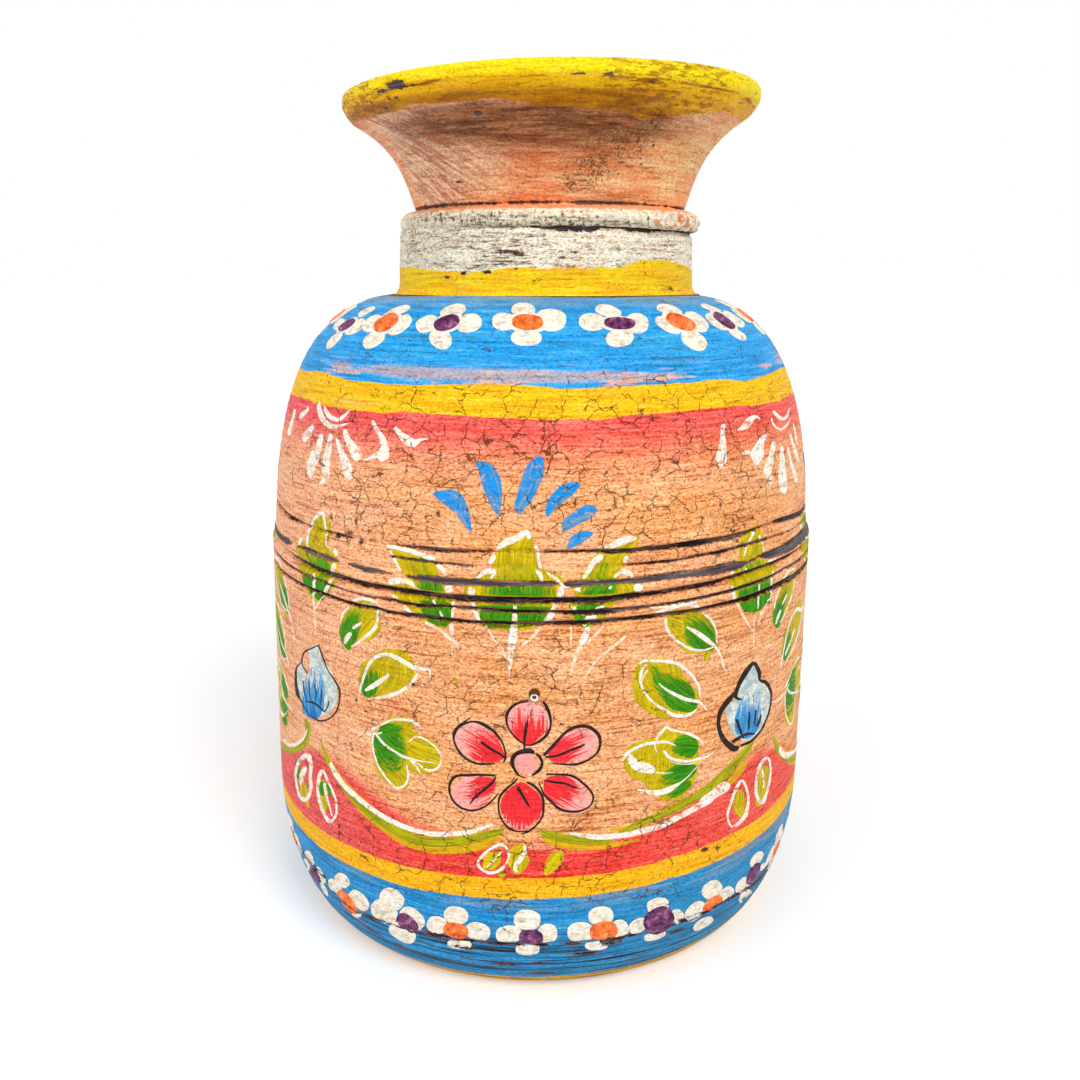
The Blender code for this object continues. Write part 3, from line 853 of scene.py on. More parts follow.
def make_ageing():
    """Brush marks, dirt, cracks, filled grooves and painted shade over any paint, and the relief they give.

    Grain says how strongly the brush marks show in the paint, and Cracks how far it has cracked.
    """
    takes, gives = ["Color", "Grain", "Cracks", "Chalk"], ["Color", "Height", "Roughness"]
    tree, n, source, end = new_group("ageing", takes, gives)
    place = n.place()
    streak = around_noise(n, place, 0.06, 1.0, 5.0, 0.72)
    grit = around_noise(n, place, 0.50, 1.8, 3.0, 0.75)
    tiny = around_noise(n, place, 1.0, 1.7, 2.0, 0.6)
    fine = n.noise(place, scale=0.9, detail=4.0, rough=0.7)
    grime = n.stains()[0]
    both = streak * 0.65 + grit * 0.35
    dark = n.step(both, 0.50, 0.36) * source["Grain"]
    colour = n.mix(dark, source["Color"], n.mix(1.0, source["Color"], rgb(186, 136, 96), "MULTIPLY"))
    pale = n.step(both, 0.51, 0.66) * source["Grain"]
    colour = n.mix(pale, colour, (0.40, 0.34, 0.28, 1), "DODGE")
    colour = n.mix(pale * 0.15, colour, rgb(255, 240, 214), "SCREEN")
    dark = n.step(tiny, 0.48, 0.36) * source["Grain"]
    colour = n.mix(dark, colour, n.mix(1.0, colour, rgb(222, 184, 150), "MULTIPLY"))
    pale = n.step(tiny, 0.53, 0.66) * source["Grain"]
    colour = n.mix(pale, colour, (0.26, 0.24, 0.22, 1), "DODGE")
    # Dirt in specks and hollows, more where the stains say so; it is greyer in chalk
    scratch = around_noise(n, place, 0.20, 2.0, 4.0, 0.7)
    specks = fine * 0.55 + scratch * 0.45 + (streak - 0.5) * -0.5 + grime * 0.14
    dirt = n.mix(source["Chalk"], rgb(170, 92, 36), rgb(124, 106, 80))
    colour = n.mix(n.step(specks, 0.60, 0.70) * 0.5, colour, dirt)
    darkest = n.mix(source["Chalk"], rgb(58, 34, 22), rgb(44, 38, 34))
    colour = n.mix(n.step(specks, 0.69, 0.75) * 0.75, colour, darkest)
    # Cracks, which widen and die out along their length
    wide, narrow = n.noise(place, 0.10), n.noise(place, 0.45, 3.0, 0.6)
    reach = wide * 0.45 + narrow * 0.55 + source["Cracks"] * 0.12
    large = cracks(n, place, 6.2, 3.8, (reach - 0.53) * 1.4, 0.16)
    small = cracks(n, place, 3.0, 1.9, reach - 0.60, 0.09)
    lines = n.math("MAXIMUM", large, small * 0.7)
    colour = n.mix(lines * 0.85, colour, rgb(70, 36, 18))
    # Black dirt with a brown rim of painted shade; slate shows on the ledge of the waist and above the collar
    black = n.stored("black") + (grit - 0.5) * 1.3 + (fine - 0.5)
    colour = n.mix(n.step(black, 0.16, 0.50) * 0.75, colour, rgb(124, 60, 24))
    z = n.parts(place)[2] + (fine - 0.5) * 2.4
    # Along the ledge's top edge, above the slate, the near black is painted shadow under the shoulder
    slate = n.step(z, 146.2, 146.8) * n.step(z, 149.7, 149.2)
    slate = n.math("MAXIMUM", slate, n.step(z, 250.0, 251.0))
    slate = n.math("MAXIMUM", slate, n.step(both, 0.50, 0.56) * 0.8)
    dirty = n.mix(n.step(streak, 0.38, 0.62), rgb(54, 44, 44), rgb(104, 96, 100))
    rubbed = both + n.step(z, 148.2, 149.8) * (n.step(z, 152.0, 151.0) * 0.08)
    dirty = n.mix(n.step(rubbed, 0.58, 0.64), dirty, rgb(186, 120, 72))
    colour = n.mix(n.step(black, 0.48, 0.60), colour, n.mix(slate, rgb(22, 12, 10), dirty))
    filled = n.step(black, 0.3, 0.7)
    n.put(end["Color"], colour)
    height = both * 1.6 + (fine + tiny) * 0.6
    n.put(end["Height"], height - lines - filled)
    n.put(end["Roughness"], both * 0.3 + 0.42)
    return tree


ground = make_ground()
ageing = make_ageing()


def new_material(name):
    """A material, its nodes and its shader."""
    material = bpy.data.materials.new(name)
    material.use_nodes = True
    return material, Nodes(material.node_tree), material.node_tree.nodes["Principled BSDF"]


def surface(n, shader, aged, depth=0.18, **other):
    """Wires aged paint into a shader, with other in place of its own outputs; depth is its relief in mm."""
    aged = {**aged, **other}
    n.put(shader.inputs["Base Color"], aged["Color"])
    n.put(shader.inputs["Roughness"], aged["Roughness"])
    shader.inputs["Specular IOR Level"].default_value = 0.12
    bump = n.add("Bump")
    n.put(bump.inputs["Strength"], 1.0)
    n.put(bump.inputs["Distance"], depth * 0.001)
    n.put(bump.inputs["Height"], aged["Height"])
    n.put(shader.inputs["Normal"], Value(n, bump.outputs[0]))


def body_paint():
    """The painted bands, aged, and pale where the blue has rubbed off at the top."""
    material, n, shader = new_material("body_paint")
    bands = n.group(ground)
    _, cracked, worn_off = n.stains()
    colour = n.mix(n.step(worn_off, 0.2, 0.8) * 0.6, bands["Color"], rgb(214, 176, 150))
    surface(n, shader, n.group(ageing, Color=colour, Grain=bands["Grain"], Cracks=cracked))
    return material


def plain(name, first, second, grain=1.0):
    """A material of one colour that varies a little."""
    material, n, shader = new_material(name)
    patch = n.noise(n.place(), scale=0.08, detail=4.0, rough=0.6)
    colour = n.mix(n.step(patch, 0.35, 0.65), first, second)
    surface(n, shader, n.group(ageing, Color=colour, Grain=grain, Cracks=0.0))
    return material


def make_mouth_paint():
    """Terracotta with pink and brown patches, a yellow lip, and off-white on the bead."""
    material, n, shader = new_material("mouth_paint")
    place = n.place()
    x, y, z = n.parts(place)
    edge = n.stored("edge")
    grime, pink, brown = n.stains()
    thin = around_noise(n, place, 0.05, 0.5, 5.0, 0.7)
    patch = n.noise(place, scale=0.05, detail=3.0)
    fray = around_noise(n, place, 0.10, 0.9, 3.0, 0.6)
    # Scratches that lean across the left of the flare
    theta = n.math("ARCTAN2", x, y * -1.0)
    turn = theta * 60.0
    lean = turn * 0.5 + z
    run = turn - z * 0.5
    behind = n.step(n.math("ABSOLUTE", turn), 130.0, 170.0)
    slant = n.fill(n.add("CombineXYZ"), run * 0.06, lean * 0.55)
    scratch = n.noise(slant, detail=5.0, rough=0.75, warp=0.9)
    scratch = (thin - scratch) * behind + scratch
    # The back half is the front's mirror image in what follows, so that the two meet at the sides
    turn = n.math("ARCSINE", n.math("SINE", theta)) * 60.0
    # Lighter towards the right of the flare and of the lip's underside: painted light
    right = n.step(turn, 22.0, 52.0) * 0.85
    colour = n.mix(n.step(thin + patch * 0.5, 0.60, 0.90), rgb(236, 134, 80), rgb(255, 196, 144))
    light = n.mix(n.step(thin, 0.40, 0.60), rgb(255, 174, 112), rgb(255, 210, 150))
    colour = n.mix(right, colour, light)
    left = n.mix(n.step(scratch, 0.38, 0.64), rgb(190, 124, 88), rgb(255, 218, 188))
    colour = n.mix(pink * 0.9, colour, left)
    # Brown where the wear stains lie, and just under the lip painted shade as well
    wear_and_shade_brown = n.mix(n.step(thin, 0.40, 0.60), rgb(98, 56, 28), rgb(178, 112, 68))
    wear_and_shade_brown = n.mix(n.step(scratch, 0.54, 0.60) * pink, wear_and_shade_brown, rgb(84, 46, 24))
    colour = n.mix(brown * 0.9, colour, wear_and_shade_brown)
    # A crust of brown pits with pale rims on the right of the flare
    crusty = n.noise(place, scale=1.1, detail=3.0, rough=0.65) + grime * 0.11
    soiled = n.step(grime, 0.2, 0.6) * n.step(n.noise(place, scale=0.22, detail=3.0), 0.38, 0.58)
    colour = n.mix(n.step(crusty, 0.53, 0.57) * (soiled * 0.45), colour, rgb(255, 206, 150))
    pitted = n.step(crusty, 0.59, 0.64) * soiled
    colour = n.mix(pitted * 0.8, colour, rgb(104, 56, 28))
    # The lip: a pure yellow band over amber, then ochre on the underside. The amber, the ochre and the brown
    # line at the fold are painted shade where the lip turns under
    streaks = n.step(thin, 0.42, 0.60)
    amber = n.mix(streaks, rgb(255, 200, 4), rgb(244, 174, 6))
    lip = n.mix(n.step(z, 296.5, 294.5), rgb(255, 228, 10), amber)
    ochre = n.mix(right, rgb(208, 140, 6), rgb(255, 192, 8))
    dark_ochre = n.mix(right, rgb(168, 106, 8), rgb(226, 160, 14))
    lip = n.mix(n.step(z, 293.2, 290.8), lip, n.mix(streaks, ochre, dark_ochre))
    fold = n.step(n.math("ABSOLUTE", z - 294.6), 0.9, 0.3) * n.step(thin, 0.50, 0.58)
    lip = n.mix(fold * 0.75, lip, rgb(120, 66, 14))
    wear = around_noise(n, place, 0.22, 0.9, 5.0, 0.7) + n.step(turn, -38.0, -58.0) * 0.11
    wear = wear + n.step(turn, 10.0, 24.0) * n.step(turn, 62.0, 48.0) * 0.09
    lip = n.mix(n.step(wear, 0.56, 0.68) * 0.7, lip, rgb(138, 80, 16))
    reach = edge + (fray - 0.5) * 1.4
    yellow = n.step(reach, -0.25, 0.25)
    colour = n.mix(yellow, colour, lip)
    # The bead: a light orange fillet over crusty off-white, orange where that is gone
    crust = n.noise(place, scale=0.35, detail=4.0, rough=0.65)
    chalk = n.mix(n.step(crust, 0.35, 0.65), rgb(255, 246, 220), rgb(220, 212, 190))
    bare = crust + n.step(turn, 34.0, 48.0) * 0.09
    chalk = n.mix(n.step(bare, 0.60, 0.66), chalk, rgb(226, 146, 92))
    pits = n.noise(place, scale=0.75, detail=4.0, rough=0.65) + grime * 0.08
    chalk = n.mix(n.step(pits, 0.60, 0.65) * 0.75, chalk, rgb(126, 106, 80))
    chalk = n.mix(n.step(pits, 0.67, 0.71), chalk, rgb(30, 24, 22))
    bead = n.mix(n.step(z + crust * 1.6, 259.6, 260.2), chalk, rgb(248, 168, 118))
    low = n.step(z, 261.1, 260.7)
    colour = n.mix(low, colour, bead)
    grain = 0.8 - (yellow * 0.3 + low * 0.3)
    aged = n.group(ageing, Color=colour, Grain=grain, Cracks=yellow * 0.8 - 1.6, Chalk=low)
    surface(n, shader, aged, 0.16, Height=aged["Height"] - pitted * (1.0 - yellow))
    return material


def make_collar_paint():
    """Chalky off-white over yellow, with the chalk's crust and pits."""
    material, n, shader = new_material("collar_paint")
    place = n.place()
    edge = n.stored("edge")
    grime, grey, green = n.stains()
    thin = around_noise(n, place, 0.06, 0.8, 4.0, 0.7)
    crust = n.noise(place, scale=0.30, detail=5.0, rough=0.7)
    fray = around_noise(n, place, 0.25, 0.9, 3.0, 0.6)
    chalk = n.mix(n.step(crust, 0.35, 0.65), rgb(255, 250, 230), rgb(244, 232, 204))
    chalk = n.mix(n.step(thin, 0.42, 0.56) * (grey * 0.5 + 0.2), chalk, rgb(214, 216, 204))
    chalk = n.mix(green * 0.6, chalk, rgb(214, 212, 196))
    pits = n.noise(n.stretched(place, 0.24, 1.5), detail=5.0, rough=0.65) + grime * 0.10
    chalk = n.mix(n.step(pits, 0.62, 0.66) * 0.75, chalk, rgb(128, 106, 76))
    chalk = n.mix(n.step(pits, 0.69, 0.73) * 0.85, chalk, rgb(44, 32, 26))
    yellow = n.mix(n.step(thin, 0.40, 0.62), rgb(255, 220, 20), rgb(255, 188, 24))
    stained = thin + crust * 0.3 + grime * 0.3
    yellow = n.mix(n.step(stained, 0.78, 0.90) * 0.6, yellow, rgb(170, 98, 40))
    reach = edge + (fray - 0.5) * 1.4
    white = n.step(reach, -0.15, 0.15)
    colour = n.mix(white, yellow, chalk)
    grain = white * 0.5 + 0.5
    aged = n.group(ageing, Color=colour, Grain=grain, Cracks=-0.3, Chalk=white)
    surface(n, shader, aged, 0.25, Height=aged["Height"] - n.step(pits, 0.58, 0.70) * white * 1.2)
    return material


paint = body_paint()
bare_wood = plain("bare_wood", rgb(92, 62, 40), rgb(120, 84, 54))
mouth_paint = make_mouth_paint()
collar_paint = make_collar_paint()
# The disc in the bottom is the CAD's own, with this wood
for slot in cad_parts["base_disc"].material_slots:
    slot.material = bare_wood


# The turned pieces

inner_mouth = np.concatenate([
    line((COLLAR_RADIUS, BEAD_FOOT), (PLUG_RADIUS, BEAD_FOOT), (PLUG_RADIUS, BEAD_FOOT - 10)),
    line((PLUG_RADIUS, BEAD_FOOT - 10), (THROAT_RADIUS, BEAD_FOOT - 10)),
    flare((LIP_INNER_RADIUS, RIM), (THROAT_RADIUS, FLARE_FOOT), 60)[::-1],
])[1:-1]
inner_collar = line(
    (SEAT_RADIUS - 0.5, SEAT + FIT),
    (PLUG_RADIUS, SEAT + FIT),
    (PLUG_RADIUS, SEAT - 9.5),
    (THROAT_RADIUS, SEAT - 9.5),
    (THROAT_RADIUS, BEAD_FOOT - 10.3),
    (SPIGOT_RADIUS, BEAD_FOOT - 10.3),
    (SPIGOT_RADIUS, BEAD_FOOT - FIT),
)
inner_shoulder = np.concatenate([
    line(
        (TONGUE_RADIUS + FIT, SEAM + FIT),
        (TONGUE_RADIUS + FIT, TONGUE_TOP + FIT),
        (BODY_INNER_RADIUS, TONGUE_TOP + FIT),
    ),
    arc(
        (BODY_INNER_RADIUS, TONGUE_TOP + FIT),
        (BODY_INNER_RADIUS - SHOULDER_LEAN, SEAT - 12.0),
        (SPIGOT_RADIUS, SEAT - 12.0),
        fullness=1.0,
    )[1:],
    np.array([[SPIGOT_RADIUS, SEAT]]),
])
inner_belly = np.concatenate([
    line((DISC_RADIUS, 0.0), (DISC_RADIUS, DISC_LEDGE)),
    line((DISC_RADIUS, DISC_LEDGE), (DISC_STEP_RADIUS, DISC_LEDGE), (DISC_STEP_RADIUS, DISC_TOP)),
    arc((DISC_STEP_RADIUS, DISC_TOP), (BELLY_INNER_RADIUS, DISC_TOP), (BELLY_INNER_RADIUS, BELLY_LEVEL))[1:],
    line((BODY_INNER_RADIUS, SEAM), (BODY_INNER_RADIUS, TONGUE_TOP), (TONGUE_RADIUS, TONGUE_TOP)),
    line((TONGUE_RADIUS, TONGUE_TOP), (TONGUE_RADIUS, SEAM)),
])


def thin_out(outline, spacing):
    """Drops points of an inner outline that lie closer than spacing on a straight run."""
    keep = [0]
    for i in range(1, len(outline) - 1):
        a, b, c = outline[keep[-1]], outline[i], outline[i + 1]
        turn = abs((b[0] - a[0]) * (c[1] - b[1]) - (b[1] - a[1]) * (c[0] - b[0]))
        gap = np.hypot(*(b - a))
        if gap > 1e-4 and (turn > 1e-3 * gap or gap > spacing):
            keep.append(i)
    keep.append(len(outline) - 1)
    return outline[keep]


# How far down the body's outline the joint at the waist lies
seam_s = float(np.hypot(*np.diff(shoulder_outline, axis=0).T).sum())
turned_piece(
    "mouth_wood", "mouth", "mouth_paint", mouth_skin, thin_out(inner_mouth, 3.0), 512,
    rows_of(mouth_skin, 0.7, dense=((252, 263), (293, 301)), dense_spacing=0.4), mouth_paint, bare_wood,
)
turned_piece(
    "collar_wood", "neck_collar", "collar_paint", collar_skin, thin_out(inner_collar, 4.0), 512,
    rows_of(collar_skin, 0.5), collar_paint, bare_wood,
)
turned_piece(
    "shoulder_wood", "upper_body", "shoulder_paint", body_skin, thin_out(inner_shoulder, 4.0), 640,
    rows_of(body_skin, 1.0, dense=((150, 161),), end=seam_s), paint, bare_wood,
)
turned_piece(
    "belly_wood", "lower_body", "belly_paint", body_skin, thin_out(inner_belly, 5.0), 640,
    rows_of(body_skin, 1.3, dense=((133.5, 150.5),), start=seam_s), paint, bare_wood,
)


# Painted motifs

# The strokes are drawn over enlarged views of the photograph. Each is a line of points "x y width",
# which is cast from the camera onto the bare surface, so that a copy can go anywhere round the pot.


def smooth_curve(points):
    """Close points along a smooth curve through the given ones; a closed curve repeats its first."""
    if len(points) < 3:
        return points
    closed = np.allclose(points[0, :2], points[-1, :2])
    before = points[-2] if closed else 2 * points[0] - points[1]
    after = points[1] if closed else 2 * points[-1] - points[-2]
    p = np.vstack([before, points, after])
    t = np.linspace(0, 1, 24, endpoint=False)[:, None]
    runs = [
        0.5 * (2 * b + (c - a) * t + (2 * a - 5 * b + 4 * c - d) * t**2 + (3 * b - a - 3 * c + d) * t**3)
        for a, b, c, d in zip(p, p[1:], p[2:], p[3:])
    ]
    return np.vstack([*runs, points[-1:]])


# Where a stroke's round end has rows, as shares of its half width; its least width in enlarged pixels
ROUNDING = np.array([0.0, 0.02, 0.08, 0.19, 0.36, 0.62])
LEAST_WIDTH = 2.5
# A pixel of the photograph on the pot, in mm
PIXEL = 0.29


class Sheet:
    """An enlarged view of the photograph: its top left corner in pixels, and its scale."""

    def __init__(self, x, y, scale):
        self.x, self.y, self.scale = x, y, scale

    def trace(self, text, shape="line", spacing=1.5, broad=1.0):
        """A stroke of this view as a net of places on the body: along it, and across it.

        A line's points are "x y width". An oval is a line whose middle width is its greatest. A patch's
        points are "y left right".
        """
        points = np.array([[float(word) for word in spot.split()] for spot in text.split(",")])
        if shape == "patch":
            y, left, right = points.T
            points = np.stack([(left + right) / 2, y, right - left], axis=1)
        points[:, 2] *= broad
        closed = len(points) > 2 and np.allclose(points[0, :2], points[-1, :2])
        curve = smooth_curve(points)
        gone = np.concatenate([[0], np.cumsum(np.hypot(*np.diff(curve[:, :2], axis=0).T))])
        length = gone[-1]
        even = np.linspace(0, length, max(3, int(round(length / (spacing * self.scale))) + 1))
        half = np.maximum(np.interp(even, gone, curve[:, 2]), LEAST_WIDTH) / 2
        if shape == "oval":
            even = length * (1 - np.cos(np.linspace(0, math.pi, 15))) / 2
            widest = points[len(points) // 2, 2] / 2
            half = widest * np.maximum(np.sin(np.linspace(0, math.pi, 15)) ** 0.75, 0.03)
        elif shape == "line" and not closed:
            starts, ends = half[0] * ROUNDING, length - half[-1] * ROUNDING
            if half[0] + half[-1] < length:
                even = np.unique(np.concatenate([starts, even[even > half[0]], ends]))
                even = even[(even <= length - half[-1]) | np.isin(even, ends)]
                half = np.maximum(np.interp(even, gone, curve[:, 2]), LEAST_WIDTH) / 2
                for near, size in ((even, half[0]), (length - even, half[-1])):
                    short = 1 - np.clip(near / size, 0, 1)
                    half = half * np.maximum(np.sqrt(1 - short**2), 0.05)
        run = np.stack([np.interp(even, gone, curve[:, i]) for i in (0, 1)], axis=1)
        if shape == "patch":
            slope = np.array([[0.0, math.copysign(1.0, run[-1, 1] - run[0, 1])]]) + 0 * run
        else:
            slope = np.gradient(run, even, axis=0)
            slope /= np.hypot(slope[:, 0], slope[:, 1])[:, None] + 1e-9
        columns = max(2, int(round(half.max() / self.scale / 1.6)))
        across = np.linspace(-1, 1, 2 * columns + 1)
        bevel = min(0.45 * self.scale / half.max(), 0.4 / columns)
        across = np.concatenate([[-1], [-1 + bevel], across[1:-1], [1 - bevel], [1]])
        x = run[:, 0:1] + across * half[:, None] * slope[:, 1:2]
        y = run[:, 1:2] - across * half[:, None] * slope[:, 0:1]
        theta, s = cast(self.x + x / self.scale, self.y + y / self.scale, body_skin)
        level = body_skin.level(s)
        if spacing > 1 and ((level > 134) & (level < 160)).any():
            return self.trace(text, shape, 0.8, broad)
        size = PIXEL / self.scale
        return Track(theta, s, even * size, across, half * size)


class Track:
    """A stroke's net of places on the body."""

    def __init__(self, theta, s, along, across, half):
        self.theta, self.s, self.along, self.across, self.half = theta, s, along, across, half

    def moved(self, turn=0.0, down=0.0, grow=1.0, centre=None):
        """A copy turned round the pot by an angle in degrees, and shifted down or grown about a centre."""
        middle = centre or (self.theta.mean(), self.s.mean())
        theta = middle[0] + (self.theta - middle[0]) * grow + math.radians(turn)
        s = middle[1] + (self.s - middle[1]) * grow + down
        return Track(theta, s, self.along * grow, self.across, self.half * grow)


# Heights over the wood in mm: what lies under black dirt and painted shadow, a stroke's edge, its edge at
# the ledge of the waist, and how much higher each next stroke lies
UNDER_DIRT_AND_SHADOW, EDGE, WAIST_EDGE, NEXT_STROKE = -0.35, -0.08, -2.4, 0.0015


class Painting:
    """Gathers the strokes of one group of motifs into one mesh."""

    def __init__(self, name, slot, materials):
        self.name, self.slot, self.materials = name, slot, materials
        self.points, self.faces, self.index, self.brush, self.stroke_place = [], [], [], [], []
        self.black, self.stain = [], []
        self.count, self.strokes = 0, 0

    def stroke(self, track, paint, layer):
        """Adds a stroke as a thin closed skin whose edges dip just under the surface."""
        rows, columns = track.theta.shape
        rng = random.Random(self.strokes * 7 + len(self.name))
        self.strokes += 1
        black = body_skin.black(track.theta, track.s)
        level = body_skin.level(track.s)
        lift = np.where(black > 0.5, UNDER_DIRT_AND_SHADOW, layer + NEXT_STROKE * (self.strokes % 12))
        lift[:, [0, -1]] = np.where((level > 133) & (level < 161), WAIST_EDGE, EDGE)[:, [0, -1]]
        points = body_skin.at(track.theta, track.s, lift)
        start = self.count
        self.points.append(points.reshape(-1, 3))
        self.count += rows * columns
        i, j = np.arange(rows - 1)[:, None], np.arange(columns - 1)[None, :]
        a = start + i * columns + j
        quads = np.stack([a, a + columns, a + columns + 1, a + 1], axis=-1).reshape(-1, 4)
        first = start + np.arange(rows - 1) * columns
        last = first + columns - 1
        under = np.stack([first, last, last + columns, first + columns], axis=-1)
        self.faces += quads.tolist() + under.tolist()
        self.faces.append(list(range(start, start + columns)))
        self.faces.append(list(range(start + rows * columns - 1, start + (rows - 1) * columns - 1, -1)))
        self.index += [self.materials.index(paint)] * (len(quads) + len(under) + 2)
        seed = rng.random()
        t = np.linspace(0, 1, rows)[:, None] + 0 * track.theta
        c = track.across[None, :] + 0 * track.theta
        self.stroke_place.append(np.stack([t, c, seed + 0 * t], axis=-1).reshape(-1, 3))
        along = track.along[:, None] + 0 * track.theta
        across = c * track.half[:, None]
        self.brush.append(np.stack([along, across, seed * 90 + 0 * t], axis=-1).reshape(-1, 3))
        self.black.append(black.ravel())
        self.stain.append(body_skin.stains(track.theta, track.s).reshape(-1, 3))

    def finish(self):
        """Makes the mesh object."""
        obj = new_mesh(self.name, np.concatenate(self.points), self.faces, self.index)
        add_numbers(obj, "stroke", np.concatenate(self.stroke_place))
        add_numbers(obj, "brush", np.concatenate(self.brush))
        add_numbers(obj, "black", np.concatenate(self.black))
        add_numbers(obj, "stain", np.concatenate(self.stain))
        finish_mesh(obj, None, self.slot, self.materials)


FAN = Sheet(420, 440, 6.533)
UPPER_LEFT = Sheet(270, 500, 7.127)
UPPER_RIGHT = Sheet(620, 520, 6.532)
LOWER_LEFT = Sheet(270, 680, 8.2526)
LOWER_RIGHT = Sheet(610, 690, 7.84)
FLOWER = Sheet(430, 680, 7.842)
SUN_LEFT = Sheet(275, 390, 9.8)
SUN_RIGHT = Sheet(700, 380, 12.06)
WAIST = Sheet(370, 530, 4.9)
SHOULDER_LEFT = Sheet(300, 290, 6.03)
SHOULDER_RIGHT = Sheet(540, 285, 6.03)
FOOT_LEFT = Sheet(290, 830, 5.807)
FOOT_RIGHT = Sheet(540, 800, 6.03)
LEAF_LEFT = Sheet(270, 640, 8.711)
LEAF_RIGHT = Sheet(600, 640, 9.8)

# The name of a paint, a view, then strokes, one a line. A long one runs on after a comma, and one that
# starts with = is a patch.
FANS = [
    ("fan", FAN, """
    90 348 14, 150 365 80, 220 390 120, 275 460 95, 305 530 60, 332 595 14
    365 150 16, 425 185 95, 462 260 128, 483 340 112, 497 420 72, 510 487 14
    785 105 36, 755 190 120, 715 290 125, 680 380 100, 650 440 70, 652 487 14
    1040 285 30, 975 320 90, 910 370 95, 860 430 75, 828 500 14
    1152 450 50, 1095 470 95, 1020 510 85, 960 555 75, 935 603 16
    1130 605 14, 1070 625 65, 1010 660 75, 960 708 14
    """),
]
SUNS_LEFT = [
    ("sun", SUN_LEFT, """
    435 110 10, 430 180 44, 460 270 60, 520 340 56, 590 360 44, 660 345 26, 730 325 6
    490 160 14, 500 210 40, 550 270 50, 620 290 44, 680 255 34, 740 195 8
    375 345 36, 340 400 60, 300 450 80, 285 510 30
    455 435 50, 430 540 60, 385 650 100, 350 760 90, 345 865 20
    552 430 36, 530 540 60, 505 660 76, 495 780 84, 490 870 80, 430 930 8
    605 475 24, 640 580 50, 680 680 84, 710 780 100, 730 870 70, 735 885 30
    685 385 40, 710 470 60, 760 560 90, 800 640 110, 790 695 50
    960 300 30, 1010 400 44, 1060 480 60, 1080 560 84, 1065 640 120, 1040 700 60
    1090 640 60, 1000 640 60, 930 670 30, 865 695 6
    1180 365 36, 1240 440 66, 1310 500 100, 1370 520 80, 1430 490 30, 1510 480 6
    190 185 20, 170 280 30, 140 380 40, 130 450 26
    240 280 26, 270 230 50, 310 200 30, 320 160 10
    """),
]
SUNS_RIGHT = [
    ("sun", SUN_RIGHT, """
    885 370 34, 930 430 44, 1000 470 44, 1050 430 36, 1075 345 8
    860 450 10, 885 530 26, 960 595 26, 1030 560 26, 1070 500 12, 1090 450 6
    285 530 50, 275 600 50, 275 690 60, 275 780 90, 265 880 120, 260 960 140, 245 1050 30
    720 475 10, 670 440 40, 600 490 90, 540 560 80, 450 610 8
    800 660 40, 750 720 70, 720 800 110, 690 900 170, 690 980 90, 680 1025 20
    600 860 80, 560 880 60, 510 900 10
    890 740 60, 880 830 60, 850 960 70, 820 1080 100, 800 1190 60
    860 1150 40, 840 1290 30
    985 800 30, 990 900 50, 995 1000 70, 995 1150 100, 1005 1290 100, 1010 1370 40
    1060 810 20, 1090 960 36, 1120 1060 40, 1150 1160 50, 1160 1240 30
    1085 650 30, 1110 740 30, 1150 860 44, 1185 980 30
    1125 525 16, 1150 640 20, 1170 780 20
    """),
]
CROWN_MIDDLE = [
    ("olive", FAN, """
    =612 680 705, 640 590 735, 670 530 745, 715 500 745, 760 485 765, 800 475 770, 835 468 775
    =838 480 775, 860 400 860, 900 370 930, 930 330 940, 960 290 935, 1030 300 905, 1070 340 895,
        1110 368 875, 1150 385 850, 1190 395 810, 1215 430 770, 1240 500 690
    """),
    ("green", FAN, """
    =1228 450 640, 1200 395 790, 1130 390 840, 1070 385 880, 1020 395 890, 960 400 885, 900 450 860,
        850 500 780, 810 540 740
    """),
    ("white", FAN, """
    500 718 20, 560 670 50, 640 640 45, 690 600 40, 722 645 36
    490 750 40, 455 810 40
    365 905 16, 430 862 44, 490 858 30, 462 905 18
    335 965 70, 345 1020 40
    345 1060 30, 375 1150 34, 395 1190 20
    752 690 30, 772 725 26, 775 790 30, 790 838 26
    755 850 20, 785 880 34, 800 930 16
    830 865 14, 880 900 26, 930 950 30, 985 965 10
    918 960 60, 915 1020 44, 880 1090 36, 850 1150 50, 810 1190 24
    622 1065 22, 618 1180 40, 608 1280 60, 600 1350 50
    """),
    ("ghost", FAN, """
    600 1330 50, 590 1450 30, 580 1568 16
    430 1210 14, 480 1290 18, 515 1345 12
    535 1350 12, 560 1420 14
    790 1215 30, 730 1290 22, 660 1345 14
    """),
]
CROWN_LEFT = [
    ("olive", WAIST, """
    =95 90 150, 110 100 235, 130 112 285, 160 130 320, 190 150 335, 215 165 340, 236 190 345
    =238 105 350, 255 95 368, 290 90 375, 320 120 388, 350 148 402, 390 188 410, 430 225 414, 455 300 395,
        475 340 372
    """),
    ("green", WAIST, """
    =470 335 378, 440 280 405, 400 258 405, 350 246 400, 310 222 372, 260 215 366, 220 215 335, 180 200 320,
        150 200 290
    =128 262 285, 158 205 300, 190 215 325, 231 235 338
    """),
    ("white", WAIST, """
    80 78 14, 140 88 22, 220 110 24, 300 138 30, 325 150 12
    100 100 10, 125 150 20, 152 200 14
    330 170 20, 360 195 26, 375 225 12
    92 258 34, 130 250 34, 190 255 24, 225 280 14, 262 305 8
    385 275 40, 392 305 40
    410 350 22, 405 430 14
    110 320 14, 140 335 20
    165 370 16, 200 400 20, 225 412 8
    310 340 16, 325 365 10
    345 395 14, 358 425 16
    400 460 30, 402 500 26
    """),
    ("ghost", WAIST, """
    270 450 20, 330 480 16, 380 520 18, 435 560 20
    402 500 22, 405 540 14, 440 585 8
    405 560 8, 405 620 6
    """),
]
